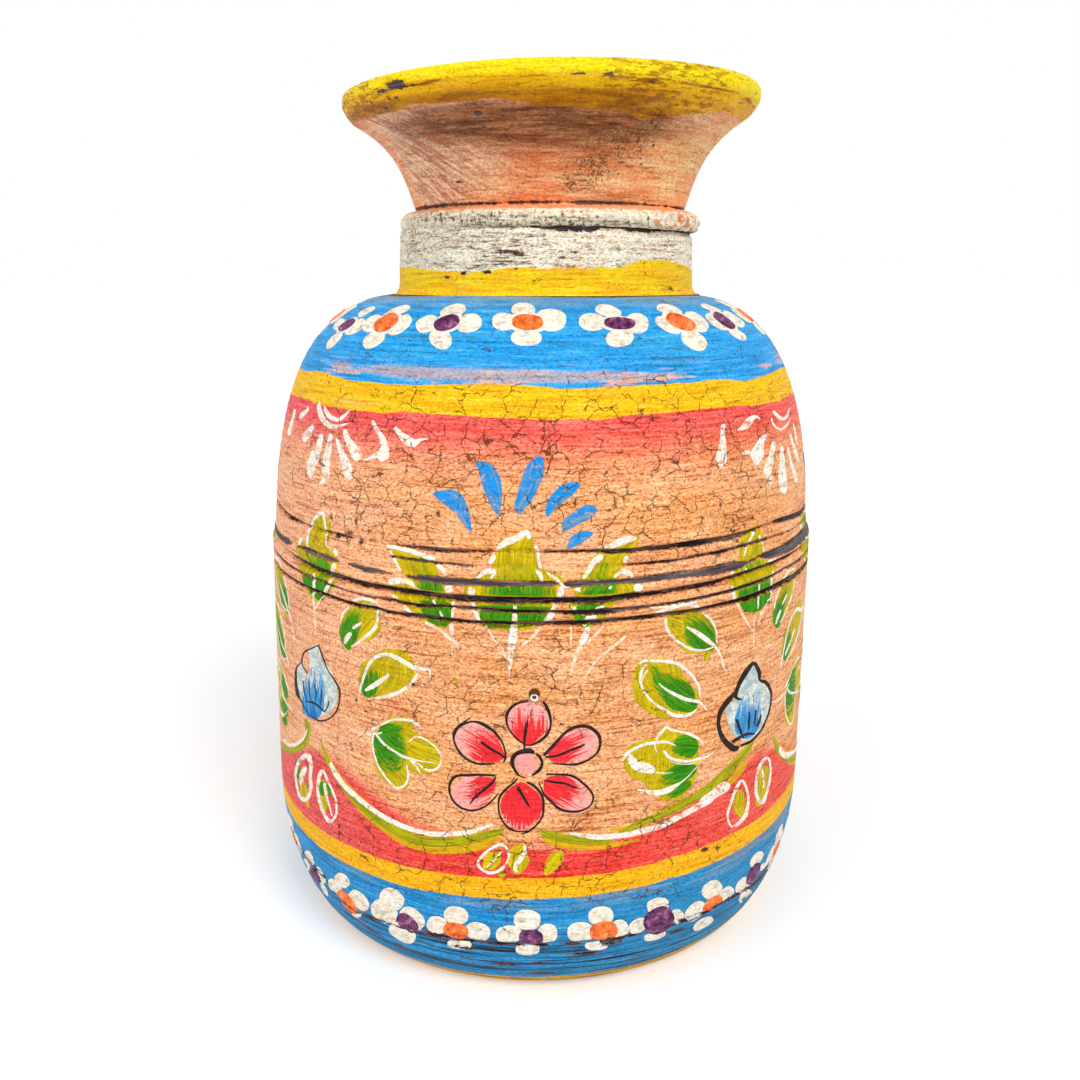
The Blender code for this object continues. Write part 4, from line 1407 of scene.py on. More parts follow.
CROWN_RIGHT = [
    ("olive", WAIST, """
    =28 1280 1316, 45 1215 1318, 70 1170 1306, 95 1140 1296, 125 1100 1275, 160 1072 1252, 200 1048 1230,
        238 1028 1225
    =240 1010 1290, 262 980 1300, 285 985 1325, 320 1005 1295, 350 980 1230, 380 972 1180, 420 985 1155,
        450 1010 1120, 478 1040 1075
    """),
    ("green", WAIST, """
    =474 1035 1065, 440 1002 1100, 400 1000 1130, 350 1010 1165, 290 1035 1225, 250 1035 1225,
        220 1045 1190, 185 1065 1190, 160 1080 1190
    """),
    ("white", WAIST, """
    1150 96 24, 1210 66 38, 1265 46 36, 1306 40 20
    1140 125 40, 1100 155 34, 1070 200 26, 1045 240 16
    1260 125 30, 1245 160 20
    1195 232 12, 1230 205 26, 1262 210 34, 1290 228 10
    1015 300 34, 1022 280 20
    1290 285 36, 1320 282 40, 1338 280 14
    1170 290 20, 1185 275 12
    998 375 30, 1000 395 26
    1105 390 30, 1150 375 20
    1045 470 20, 1080 430 44, 1110 418 20
    1072 475 34, 1035 560 36
    """),
    ("ghost", WAIST, """
    985 475 14, 983 590 12
    1035 560 30, 1000 640 18, 985 700 8
    1145 470 18, 1060 560 14
    1255 520 16, 1180 580 18, 1110 640 14, 1050 725 8
    """),
]
CROWN_OVER_BUD = [
    ("olive", UPPER_RIGHT, """
    =38 880 915, 60 840 922, 100 800 938, 150 788 945, 200 780 946, 260 776 915
    =262 770 1040, 300 735 1035, 350 735 1010, 400 728 1005, 450 722 1000, 500 738 990, 540 770 975,
        575 795 950, 606 815 890
    """),
    ("green", UPPER_RIGHT, """
    =602 812 885, 570 795 950, 520 775 985, 450 770 998, 380 765 1000, 320 775 985, 270 790 940, 230 795 910
    """),
    ("white", UPPER_RIGHT, """
    890 60 14, 860 110 14, 830 170 14, 810 240 10
    905 100 12, 930 150 12, 940 210 10
    735 330 24, 735 365 22
    735 430 24, 745 490 26, 765 540 24
    970 272 14, 1020 250 24
    1000 330 16, 990 400 14, 985 500 12, 960 530 10
    820 312 16, 832 335 14, 850 325 12
    910 420 12, 905 500 12, 900 580 12
    """),
    ("ghost", UPPER_RIGHT, """
    765 540 22, 820 650 14, 880 745 8
    880 620 10, 875 700 8, 875 830 6
    960 540 10, 930 600 22, 900 690 14
    """),
]
CROWN_OVER_LEFT_BUD = [
    ("olive", UPPER_LEFT, """
    =105 330 380, 130 292 410, 170 278 432, 220 274 438, 270 272 428, 320 268 408, 360 265 405
    =300 195 300, 350 180 420, 400 178 465, 450 195 488, 500 205 486, 550 218 470, 600 235 460, 650 255 430,
        700 290 385, 725 335 375
    """),
    ("green", UPPER_LEFT, """
    =715 340 380, 680 300 395, 620 245 440, 560 225 455, 500 220 450, 450 235 450, 400 215 420, 360 210 380
    """),
    ("white", UPPER_LEFT, """
    268 360 16, 265 280 18, 285 190 22, 320 130 28, 370 95 30, 390 150 18, 400 240 16, 400 330 12
    205 320 20, 220 270 30
    180 375 26, 178 412 20
    460 350 36, 475 400 24
    460 450 40, 445 520 40
    440 560 30, 400 640 34, 370 700 16
    293 450 12, 302 485 10
    312 520 16, 310 620 26, 305 690 18
    """),
    ("ghost", UPPER_LEFT, """
    305 690 20, 312 780 14, 315 870 8, 320 920 6
    365 700 14, 330 760 16, 312 790 10
    """),
]
LEAVES = [
    # the leaf at the left under the grooves
    ("olive", UPPER_LEFT, """
    772 770 50, 725 800 220, 665 860 290, 605 940 235, 572 1005 130, 558 1072 24
    """),
    ("green", UPPER_LEFT, """
    560 1068 24, 560 1000 110, 565 930 150, 590 870 150, 620 810 120, 650 765 60
    """),
    ("white", UPPER_LEFT, """
    500 890 10, 515 820 16, 560 765 24
    770 785 14, 765 870 24, 735 930 34, 690 968 30, 640 1010 24, 580 1045 14
    655 872 22, 590 915 32
    580 945 34, 548 985 40, 532 1025 20
    590 715 20, 680 705 24, 770 735 16
    640 745 14, 740 760 26, 820 780 10
    """),
    # the larger one below it
    ("olive", LEAF_LEFT, """
    =80 1000 1150, 110 930 1210, 160 870 1240, 210 790 1255, 260 785 1262, 310 780 1268, 360 782 1236,
        400 790 1200, 440 810 1100, 480 840 980, 505 855 900
    """),
    ("green", LEAF_LEFT, """
    850 500 40, 860 440 150, 870 380 190, 870 320 190, 875 260 180, 890 215 100
    """),
    ("white", LEAF_LEFT, """
    770 520 12, 790 420 22, 820 320 26, 860 220 30, 920 150 34, 1010 125 40, 1100 150 44, 1190 200 46,
        1270 245 44, 1340 255 34, 1395 265 20, 1400 320 10
    830 440 26, 900 400 50, 960 360 50, 1040 300 30
    1290 290 26, 1240 370 34, 1150 440 36, 1060 480 34, 960 500 26, 860 515 20
    """),
    # the leaf with two lobes
    ("olive", LOWER_LEFT, """
    865 470 60, 940 480 240, 1040 520 330, 1150 570 300, 1260 620 300, 1350 660 240, 1412 680 90
    890 560 80, 950 650 210, 1020 740 240, 1080 820 170, 1115 900 60
    930 400 100, 1020 370 130, 1110 360 120, 1195 375 60
    """),
    ("green", LOWER_LEFT, """
    880 430 50, 930 490 190, 1000 560 300, 1080 620 250, 1140 650 90
    900 540 60, 960 620 200, 1040 690 190, 1110 720 60
    900 430 60, 980 400 110, 1050 400 90, 1110 390 40
    """),
    ("white", LOWER_LEFT, """
    840 412 30, 920 370 20, 1010 330 18, 1110 325 24, 1200 350 26, 1245 402 14
    855 440 20, 850 540 14, 880 660 16, 930 760 18, 1000 850 18, 1060 890 24, 1120 860 24, 1145 790 18,
        1130 690 10
    1150 505 10, 1210 465 20, 1290 490 16, 1370 550 14, 1410 620 16, 1405 700 18, 1350 740 24, 1290 735 18,
        1230 690 14, 1160 650 14
    880 450 20, 940 520 24, 1020 580 24, 1110 630 22, 1250 665 10, 1370 680 6
    1160 650 18, 1210 710 16, 1252 775 6
    850 445 16, 890 440 22, 930 432 10
    """),
    ("ghost", LOWER_LEFT, "640 385 14, 720 435 16, 840 450 22"),
    # the leaf at the right under the grooves
    ("olive", UPPER_RIGHT, """
    290 660 40, 370 675 180, 460 720 270, 540 775 250, 595 820 130, 632 845 24
    575 850 80, 556 925 14
    """),
    ("green", UPPER_RIGHT, "628 830 24, 575 800 150, 520 740 210, 470 680 190, 420 640 90"),
    ("white", UPPER_RIGHT, """
    300 640 20, 305 700 24, 350 770 22, 420 820 20, 480 848 22, 550 850 18, 612 830 12
    545 610 14, 600 660 20, 632 740 10, 630 800 8
    432 698 12, 500 735 34, 570 785 38, 620 825 22, 655 880 14, 687 985 8
    235 608 16, 340 572 32, 440 548 34, 525 575 20
    180 575 14, 300 568 8, 400 552 16, 510 540 8
    """),
    ("olive", UPPER_RIGHT, "340 595 12, 430 590 26, 520 575 10"),
    # the larger one below it
    ("olive", LEAF_RIGHT, """
    =180 430 640, 230 375 740, 300 345 800, 370 320 840, 440 315 890, 500 318 960, 560 330 970, 620 365 960,
        680 430 930, 730 510 850, 770 600 700
    """),
    ("green", LEAF_RIGHT, """
    960 620 60, 900 620 190, 800 560 300, 700 480 280, 600 400 200, 540 310 110, 500 250 30
    """),
    ("white", LEAF_RIGHT, """
    380 235 24, 440 205 34, 560 205 36, 680 215 40, 760 235 34, 830 280 40, 890 330 36, 940 400 30,
        975 470 26, 980 560 12
    455 240 26, 410 300 34, 395 400 34, 420 480 26, 480 570 26, 560 640 30, 640 690 34, 720 735 44,
        820 745 40, 890 725 30, 945 680 14
    470 290 14, 430 350 12, 410 420 8
    575 425 14, 620 465 20, 690 510 34, 770 550 44, 850 585 44, 940 600 36, 990 620 26, 1050 690 14
    """),
    # the broad one at the right
    ("olive", LEAF_RIGHT, """
    =855 600 700, 900 575 860, 950 560 930, 985 420 965, 1060 262 975, 1150 240 970, 1250 240 960,
        1340 300 945, 1380 400 930, 1430 450 905, 1470 470 870, 1510 560 840, 1575 590 760
    """),
    ("green", LEAF_RIGHT, """
    965 1050 200, 900 1045 240, 830 1040 230, 760 1060 170, 700 1080 60
    945 1240 60, 880 1270 150, 780 1310 190, 690 1350 170, 620 1370 120, 560 1370 40
    890 1390 60, 820 1440 90, 740 1500 90, 650 1545 40
    """),
    ("white", LEAF_RIGHT, """
    215 1190 24, 270 1110 36, 350 1060 36, 450 1020 34, 550 1005 34, 640 1000 26, 700 1015 20, 745 1040 12
    550 985 26, 590 920 34, 655 850 24
    535 1020 20, 555 1100 8
    655 850 24, 700 880 32, 790 900 26, 870 920 34, 930 950 30, 980 980 22, 1010 1015 20
    625 1085 30, 670 1140 34, 740 1175 34, 830 1190 34, 900 1185 30, 970 1165 26, 1050 1145 20, 1110 1100 8
    690 1190 6, 780 1215 10, 880 1215 10, 950 1200 6
    290 1120 30, 320 1190 90, 380 1240 110, 430 1250 110, 500 1270 90, 540 1285 60
    550 1300 16, 640 1305 12, 715 1295 6
    360 1470 20, 440 1480 30, 520 1500 56, 600 1495 60, 680 1465 56, 740 1430 40, 800 1390 16, 880 1320 10,
        950 1240 6
    """),
]
SMALL_LEAVES_LEFT = [
    ("olive", LOWER_LEFT, """
    250 820 30, 270 900 70, 285 960 40, 312 1055 10
    430 820 30, 430 900 90, 430 1000 90, 455 1080 36
    """),
    ("green", LOWER_LEFT, """
    215 660 30, 215 700 40, 235 800 50, 255 860 20
    430 840 50, 425 900 60, 430 960 30
    470 850 20, 485 900 44, 497 955 16
    """),
    ("white", LOWER_LEFT, """
    300 625 42, 330 700 31, 325 800 28, 330 900 28, 290 990 36, 240 960 28, 215 880 17, 205 780 22,
        230 680 34, 300 625 42
    285 715 36, 255 800 48, 245 870 11
    430 745 22, 400 800 34, 390 900 28, 405 1000 28, 440 1100 28, 490 1170 31, 540 1120 20, 545 1010 17,
        510 910 17, 470 830 20, 430 745 22
    445 850 25, 460 950 22, 490 1050 11, 510 1120 11
    """),
]
SMALL_LEAVES_RIGHT = [
    ("olive", LOWER_RIGHT, """
    1020 780 24, 1020 850 90, 1005 920 90, 1040 980 60, 1060 1000 20
    1220 590 50, 1200 690 90, 1180 800 80, 1158 915 40
    """),
    ("white", LOWER_RIGHT, """
    1030 710 20, 980 790 24, 945 890 20, 920 980 18, 945 1065 18, 1000 1050 24, 1060 980 34, 1078 900 22,
        1080 830 18, 1060 750 22, 1030 710 20
    1230 530 22, 1170 600 24, 1145 720 22, 1145 820 28, 1190 882 36, 1225 800 22, 1250 700 18, 1255 600 14,
        1230 530 22
    1190 620 16, 1200 700 14, 1200 770 12
    """),
]
SMALL_LEAVES_MIDDLE = [
    ("olive", FLOWER, """
    545 1345 40, 500 1400 130, 460 1440 120, 420 1470 24
    530 1500 60, 590 1530 50
    745 1290 40, 700 1360 160, 690 1430 170, 680 1495 90, 668 1520 24
    1040 1345 50, 990 1400 120, 945 1460 100, 905 1530 30
    225 0 50, 205 8 60
    """),
    ("white", FLOWER, """
    590 1300 20, 540 1290 26, 470 1325 24, 405 1385 28, 378 1440 22, 420 1490 22, 475 1510 26, 545 1490 26,
        602 1435 24, 620 1370 20, 590 1300 20
    560 1345 10, 500 1410 14, 440 1470 8
    740 1292 22, 745 1340 34, 715 1395 44, 680 1440 44, 668 1480 30, 690 1505 16
    """),
]
VINES_LEFT = [
    ("ochre", LOWER_LEFT, """
    420 520 10, 520 720 24, 640 900 70, 790 1060 110, 960 1200 110, 1150 1315 120, 1400 1370 130,
        1700 1350 120, 1900 1290 40
    """),
    ("vine", LOWER_LEFT, """
    410 490 8, 445 600 26, 500 720 40, 600 870 50, 700 980 70, 830 1090 90, 1000 1210 90, 1200 1310 90,
        1400 1335 80, 1600 1320 80, 1780 1280 70, 1935 1235 40
    """),
    ("white", LOWER_LEFT, """
    495 680 30, 520 740 40, 600 860 44, 720 970 44, 860 1075 40, 1000 1160 44, 1160 1225 44, 1330 1265 44,
        1500 1265 44, 1660 1250 40, 1790 1205 26, 1850 1185 8
    """),
]
VINES_RIGHT = [
    ("ochre", FLOWER, """
    880 1245 30, 1000 1280 60, 1150 1305 60, 1330 1308 44, 1500 1285 30, 1640 1255 14
    """),
    ("ochre", LOWER_RIGHT, """
    0 1098 20, 120 1082 36, 240 1052 40, 400 985 20
    880 790 20, 950 710 50, 1030 620 50, 1075 555 16
    """),
    ("vine", FLOWER, """
    858 1180 20, 930 1212 70, 1080 1245 70, 1230 1262 60, 1400 1250 50, 1520 1190 44, 1660 1120 56,
        1811 1058 62, 2011 958 66, 2161 868 66, 2271 778 70, 2371 678 70, 2461 578 62, 2528 480 30
    """),
    ("white", FLOWER, """
    1090 1200 10, 1200 1218 34, 1330 1232 44, 1470 1222 44, 1611 1200 44, 1811 1143 46, 1971 1063 44,
        2111 988 50, 2171 938 84, 2210 905 70, 2261 868 84, 2310 838 84, 2350 820 50
    """),
]
LEFT_SWAG = [
    ("vine", LEAF_LEFT, "300 690 30, 325 780 50, 300 880 60, 230 950 60, 160 960 60, 95 920 50"),
    ("white", LEAF_LEFT, "318 775 8, 290 850 24, 220 910 36, 160 915 34, 105 865 20"),
]
# the part of it that joins the next swag, behind the left edge
LEFT_BOWL = [
    ("vine", FLOWER, "858 1190 34, 930 1212 40, 1080 1245 40, 1230 1262 40, 1400 1262 36"),
    ("white", FLOWER, "930 1185 16, 1080 1212 26, 1230 1228 26, 1400 1228 22"),
]
RED_FLOWER = [
    ("petal", FLOWER, """
    790 505 40, 775 430 250, 775 340 340, 775 260 320, 780 190 200, 785 165 50
    930 610 50, 1010 575 180, 1090 525 250, 1180 490 280, 1260 460 220, 1325 450 60
    900 780 60, 970 830 210, 1060 880 280, 1150 930 260, 1220 960 180, 1262 970 50
    515 790 40, 440 830 190, 350 875 260, 260 885 250, 200 875 160, 168 865 50
    575 610 50, 500 565 190, 420 510 270, 330 455 280, 260 415 210, 205 380 70
    """),
    ("full_petal", FLOWER, """
    720 800 60, 718 880 250, 718 960 330, 718 1050 310, 715 1120 210, 715 1175 50
    """),
    ("pink", FLOWER, "665 640 50, 700 640 150, 750 645 175, 800 645 150, 838 640 50"),
    ("black", FLOWER, """
    770 160 22, 700 175 18, 640 210 20, 605 270 20, 605 340 14, 640 410 12, 700 470 12, 755 507 8
    740 505 8, 800 505 12, 870 470 18, 920 420 18, 945 350 14, 940 280 20, 915 210 22, 885 165 16
    740 540 9, 742 460 20, 755 370 22, 765 308 6
    890 590 18, 960 520 24, 1040 430 20, 1110 380 22, 1190 360 22, 1260 375 24, 1320 430 24, 1335 500 20,
        1310 570 14, 1250 620 12, 1170 655 16, 1100 662 14, 1000 655 8, 950 645 5
    905 602 12, 1000 590 18, 1100 550 18, 1180 520 18, 1215 500 12
    910 735 12, 1010 738 12, 1110 750 16, 1190 800 16, 1260 870 14, 1280 930 14, 1250 990 12, 1180 1025 16,
        1100 1030 18, 1020 1010 20, 950 950 20, 900 900 14, 870 840 8, 850 795 5
    890 785 6, 960 795 16, 1060 810 16, 1120 835 16, 1160 850 7
    760 795 12, 830 840 18, 880 910 18, 890 990 16, 880 1070 14, 830 1140 12, 770 1185 12, 715 1205 6
    770 1180 8, 700 1185 8, 640 1170 14, 590 1130 12, 550 1060 12, 538 980 12, 550 910 16, 600 850 16,
        660 800 12, 690 765 8
    685 835 34, 720 890 20, 760 960 18, 788 1000 5
    640 795 6, 665 765 6
    515 745 14, 420 740 16, 320 740 16, 230 745 16, 180 770 20, 155 830 16, 165 900 14, 210 970 16,
        280 1010 14, 350 1018 14, 430 990 12, 500 930 12, 540 880 5
    518 752 8, 490 800 20, 420 860 20, 350 920 18, 315 970 7
    325 290 5, 250 340 14, 200 400 26, 190 460 14, 215 530 14, 270 600 14, 350 645 14, 430 655 14, 512 650 7
    205 385 8, 270 340 16, 340 322 12, 400 335 22, 470 375 20, 530 430 16, 570 490 12, 590 560 12,
        592 610 14, 577 645 7
    400 480 20, 470 530 18, 540 570 16, 595 612 10
    820 570 14, 780 552 36, 700 565 28, 655 600 30, 645 650 24, 665 700 18, 700 745 10, 750 765 8
    800 745 12, 860 700 24, 880 650 18, 860 600 20, 830 575 14
    """),
]
RIGHT_BUD = [
    ("pale", UPPER_RIGHT, """
    872 950 20, 855 1010 100, 850 1080 150, 860 1150 190, 850 1210 230, 840 1280 240, 830 1340 220,
        815 1400 150, 800 1440 60
    905 1070 40, 945 1110 60, 950 1180 70, 935 1280 50
    """),
    ("pale", LEAF_RIGHT, "1320 600 30, 1285 680 90, 1290 780 90, 1320 870 80, 1350 950 40"),
    ("bud_blue", UPPER_RIGHT, """
    790 1425 50, 805 1390 120, 830 1320 170, 845 1250 160, 850 1180 120, 850 1110 50
    """),
    ("black", UPPER_RIGHT, """
    875 925 20, 830 985 34, 790 1050 30, 765 1110 26, 755 1150 26, 772 1168 20, 797 1172 10
    760 1120 20, 700 1190 34, 655 1260 30, 645 1330 24, 660 1400 32, 700 1460 40, 745 1492 46, 775 1480 20
    878 928 26, 908 990 30, 912 1045 18, 950 1060 30, 980 1110 20, 985 1170 12, 965 1270 12, 920 1370 14,
        860 1440 16, 790 1475 14
    760 1300 22, 780 1360 22, 805 1425 12
    845 1250 8, 842 1300 16, 838 1370 12
    888 1240 12, 880 1300 12, 876 1340 7
    920 1270 12, 905 1320 16, 888 1352 8
    733 1452 22, 790 1412 20, 840 1395 20, 880 1397 12
    """),
]
LEFT_BUD = [
    ("pale", LEAF_LEFT, """
    370 50 100, 385 120 110, 400 200 130, 430 300 200, 440 400 280, 440 500 290, 430 600 220, 420 670 90
    270 200 30, 265 280 70, 270 380 90, 280 460 80, 300 540 60
    """),
    ("bud_blue", LEAF_LEFT, """
    400 690 60, 375 620 180, 370 540 200, 375 460 200, 380 380 190, 385 300 120, 385 240 50
    """),
    ("black", UPPER_LEFT, """
    352 1032 6, 290 1060 12, 240 1085 12, 222 1135 8, 228 1180 8, 262 1240 5
    218 1155 7, 182 1200 9, 178 1290 22, 190 1380 28, 215 1430 10, 260 1510 8, 310 1555 10, 350 1575 12,
        420 1558 12, 478 1490 10, 497 1370 11, 460 1288 10, 410 1212 9, 372 1120 9, 342 1038 6
    232 1290 9, 240 1370 9, 255 1425 5
    275 1290 7, 280 1380 8, 290 1432 5
    315 1310 9, 325 1380 11, 320 1442 6
    365 1352 9, 362 1430 8, 355 1465 5
    417 1430 8, 410 1470 10, 385 1512 10
    245 1436 7, 300 1445 18, 345 1475 14, 388 1512 10
    """),
]
# A view and a heart's paint, then the heart of a flower and its petals
SHOULDER_FLOWERS = [
    (SHOULDER_LEFT, "purple", """
    232 240 10, 282 208 46, 330 176 14
    348 155 14, 400 125 34, 452 100 14
    385 175 10, 345 215 60, 270 258 30
    205 238 10, 225 205 40, 262 170 20
    160 352 12, 200 300 46, 250 255 34
    """),
    (SHOULDER_LEFT, "orange", """
    452 242 40, 515 205 90, 590 160 40
    525 155 20, 600 125 48, 665 104 24
    382 240 36, 440 200 80, 500 170 60
    530 262 30, 610 210 80, 670 165 30
    388 345 34, 445 300 80, 510 262 60
    """),
    (SHOULDER_LEFT, "purple", """
    812 228 50, 880 208 88, 962 180 36
    850 160 30, 925 132 70, 1000 112 30
    705 235 36, 765 212 90, 835 185 60
    948 228 50, 1020 205 100, 1096 190 40
    815 345 36, 850 300 130, 890 255 120
    """),
    (SHOULDER_LEFT, "orange", """
    1280 195 50, 1370 198 96, 1466 200 50
    1275 125 36, 1345 120 76, 1418 125 36
    1160 190 30, 1230 195 96, 1300 195 80
    1425 165 60, 1505 180 125, 1605 178 40
    1365 240 130, 1365 290 170, 1365 338 50
    """),
    (SHOULDER_RIGHT, "purple", """
    387 222 40, 470 230 76, 574 235 50
    335 140 40, 410 152 66, 490 178 40
    235 215 40, 310 222 96, 395 225 90
    520 210 60, 590 230 110, 655 235 44
    475 265 110, 482 315 155, 490 370 50
    """),
    (SHOULDER_RIGHT, "orange", """
    762 188 36, 840 222 84, 935 258 44
    705 130 26, 780 148 56, 855 178 30
    698 200 30, 770 240 66, 850 282 34
    868 180 36, 945 225 86, 1010 268 36
    860 285 50, 925 330 96, 1000 378 40
    """),
    (SHOULDER_RIGHT, "purple", """
    1045 172 16, 1105 215 52, 1172 262 16
    970 118 10, 1030 140 30, 1095 168 14
    1000 178 12, 1060 225 46, 1130 268 16
    1100 165 14, 1165 205 50, 1232 248 14
    1140 262 16, 1190 295 46, 1242 326 14
    """),
]
FOOT_FLOWERS = [
    (FOOT_LEFT, "purple", """
    116 222 20, 140 260 40, 170 305 20
    90 122 14, 105 165 44, 128 208 30
    70 170 14, 90 205 26, 112 240 12
    150 215 14, 175 260 30, 200 310 14
    175 305 14, 195 345 24, 215 385 10
    """),
    (FOOT_LEFT, "orange", """
    282 352 30, 335 415 62, 386 480 34
    265 262 34, 300 290 66, 335 330 40
    225 288 26, 258 330 52, 295 372 30
    350 358 40, 400 405 74, 450 462 40
    362 480 20, 390 492 34, 412 500 16
    """),
    (FOOT_LEFT, "purple", """
    630 492 40, 685 535 84, 740 582 40
    530 360 50, 590 395 104, 655 440 60
    482 422 50, 545 470 112, 612 528 70
    645 465 50, 710 505 92, 772 565 44
    580 555 50, 650 590 90, 725 640 60
    """),
    (FOOT_LEFT, "orange", """
    895 562 50, 960 578 92, 1035 600 60
    895 490 50, 960 490 92, 1035 510 60
    797 540 44, 850 548 94, 912 565 70
    1020 570 60, 1090 588 98, 1162 605 44
    915 655 34, 985 662 52, 1055 665 44
    """),
    (FOOT_LEFT, "purple", """
    1330 615 44, 1400 620 92, 1470 625 44
    1300 515 60, 1375 520 108, 1455 525 60
    1196 608 44, 1265 605 96, 1345 600 60
    1440 600 60, 1500 600 104, 1552 600 50
    1310 690 30, 1380 690 66, 1450 690 36
    """),
    (FOOT_RIGHT, "orange", """
    300 795 50, 380 790 118, 465 770 60
    292 705 50, 365 700 106, 442 690 56
    165 800 44, 240 798 112, 325 795 80
    430 790 80, 485 775 100, 532 762 44
    270 880 30, 340 878 52, 410 872 30
    """),
    (FOOT_RIGHT, "purple", """
    635 775 70, 712 725 150, 792 668 60
    645 655 50, 710 635 84, 776 620 44
    542 795 36, 590 760 76, 645 728 60
    788 730 50, 825 700 78, 856 672 30
    628 835 30, 690 815 54, 755 795 26
    """),
    (FOOT_RIGHT, "orange", """
    985 665 34, 1038 622 66, 1092 580 34
    985 580 50, 1035 540 92, 1088 500 50
    1090 605 44, 1125 565 64, 1160 528 34
    882 722 40, 930 675 82, 990 620 60
    925 780 26, 980 742 50, 1040 710 26
    """),
    (FOOT_RIGHT, "purple", """
    1247 505 20, 1282 445 54, 1318 378 20
    1275 405 24, 1308 350 52, 1340 312 24
    1188 560 26, 1220 515 64, 1262 470 36
    1325 425 14, 1345 400 26, 1362 380 10
    1203 615 18, 1235 575 40, 1272 545 16
    """),
]


# How high each paint lies over the wood, in mm
LAYERS = {
    "olive": 0.08, "ochre": 0.08, "petal": 0.08, "full_petal": 0.08, "pink": 0.08, "pale": 0.08, "fan": 0.10,
    "vine": 0.10, "sun": 0.10, "green": 0.11, "bud_blue": 0.11, "ghost": 0.13, "white": 0.15, "black": 0.15,
    "blossom": 0.09, "blossom_back": 0.075, "orange": 0.32, "purple": 0.32,
}
# The photograph's strokes as tracks on the pot, by their text
traced = {}


def strokes_in(text):
    """The strokes of a text, one a line; a long one runs on after a comma."""
    return [stroke.strip() for stroke in text.replace(",\n", ",").strip().splitlines()]


def paint_all(painting, strokes, turn=0.0, down=0.0, grow=1.0):
    """Adds a list of strokes, all moved as one about the middle of the first."""
    centre = None
    for paint_name, sheet, text in strokes:
        for stroke in strokes_in(text):
            if stroke not in traced:
                shape = "patch" if stroke.startswith("=") else "line"
                broad = 1.25 if paint_name == "black" and sheet is FLOWER else 1.0
                traced[stroke] = sheet.trace(stroke.lstrip("="), shape, broad=broad)
            track = traced[stroke]
            centre = centre or (track.theta.mean(), track.s.mean())
            painting.stroke(track.moved(turn, down, grow, centre), paints[paint_name], LAYERS[paint_name])


QUARTER_TURNS = (0, 90, 180, 270)
jitter = random.Random(7)


def quarters(painting, strokes, skip=()):
    """The strokes on each quarter of the pot; the copies sit and grow a little differently."""
    for turn in QUARTER_TURNS:
        if turn in skip:
            continue
        if turn == 0:
            paint_all(painting, strokes)
        else:
            down, grow = jitter.uniform(-1.2, 1.2), jitter.uniform(0.94, 1.06)
            paint_all(painting, strokes, turn + jitter.uniform(-1.5, 1.5), down, grow)


def flower_ring(painting, flowers, patterns, count, backed):
    """The flowers that the photograph shows, then enough copies of the clearest ones to close the ring."""

    def add(flower, turn=0.0, colour=None, down=0.0, grow=1.0):
        sheet, own_colour, text = flower
        heart, *petals = strokes_in(text)
        for stroke in (heart, *petals):
            if stroke not in traced:
                traced[stroke] = sheet.trace(stroke, "oval", broad=1.0 if stroke == heart else 1.12)
        middle = (traced[heart].theta.mean(), traced[heart].s.mean())
        for petal in petals:
            track = traced[petal].moved(turn, down, grow, middle)
            painting.stroke(track, paints["blossom"], LAYERS["blossom"])
        dab = traced[heart].moved(turn, down, grow, middle)
        if backed:
            painting.stroke(dab.moved(grow=1.3), paints["blossom"], LAYERS["blossom_back"])
        colour = colour or own_colour
        painting.stroke(dab, paints[colour], LAYERS[colour])
        return math.degrees(middle[0])

    first, *_, last = [add(flower) for flower in flowers]
    colours = ("purple", "orange")
    start = colours.index(flowers[-1][1])
    step = (first + 360 - last) / (count + 1)
    for i in range(count):
        pattern = flowers[patterns[i % len(patterns)]]
        own_place = math.degrees(traced[strokes_in(pattern[2])[0]].theta.mean())
        turn = last + (i + 1) * step - own_place + jitter.uniform(-1.0, 1.0)
        down, grow = jitter.uniform(-1.0, 1.0), jitter.uniform(0.92, 1.08)
        add(pattern, turn, colours[(start + i + 1) % 2], down, grow)


# Paints


def stroke_nodes(name):
    """A material with the stroke's own coordinates: t along it, c across it, and its bristle streaks."""
    material, n, shader = new_material(name)
    n.t, n.c, n.seed = n.parts(n.stored("stroke", "Vector"))
    brush = n.stored("brush", "Vector")
    n.streak = n.noise(n.vector("MULTIPLY", brush, (0.10, 2.2, 1.0)), detail=3.0, rough=0.6)
    n.blotch = n.noise(n.vector("MULTIPLY", brush, (0.5, 0.5, 1.0)), detail=4.0, rough=0.6)
    return material, n, shader


def stroke_paint(name, mix_colour, grain=0.28, depth=0.10):
    """A paint for brush strokes; mix_colour(n) returns its colour before it ages."""
    material, n, shader = stroke_nodes(name)
    aged = n.group(ageing, Color=mix_colour(n), Grain=grain, Cracks=n.stains()[1] * 0.8)
    surface(n, shader, aged, depth)
    return material


def two_tone(light, dark):
    """A light paint with dark bristle streaks."""
    return lambda n: n.mix(n.step(n.streak, 0.35, 0.65), light, dark)


def worn(n, colour, amount, low, high):
    """Lets the ground show through where the paint has worn thin."""
    return n.mix(n.step(n.blotch, low, high) * amount, colour, n.group(ground)["Color"])


def fan_colour(n):
    colour = n.mix(n.step(n.streak, 0.40, 0.62), rgb(0, 150, 240), rgb(16, 136, 210))
    dry = n.step(n.streak + n.t * 0.10, 0.56, 0.68)
    colour = n.mix(n.step(n.blotch, 0.44, 0.56) * 0.35, colour, rgb(70, 142, 200))
    return worn(n, n.mix(dry * 0.7, colour, rgb(150, 160, 156)), 0.6, 0.57, 0.68)


def white_colour(n):
    colour = n.mix(n.step(n.blotch, 0.38, 0.70), rgb(255, 250, 238), rgb(232, 218, 196))
    return worn(n, colour, 0.8, 0.56, 0.66)


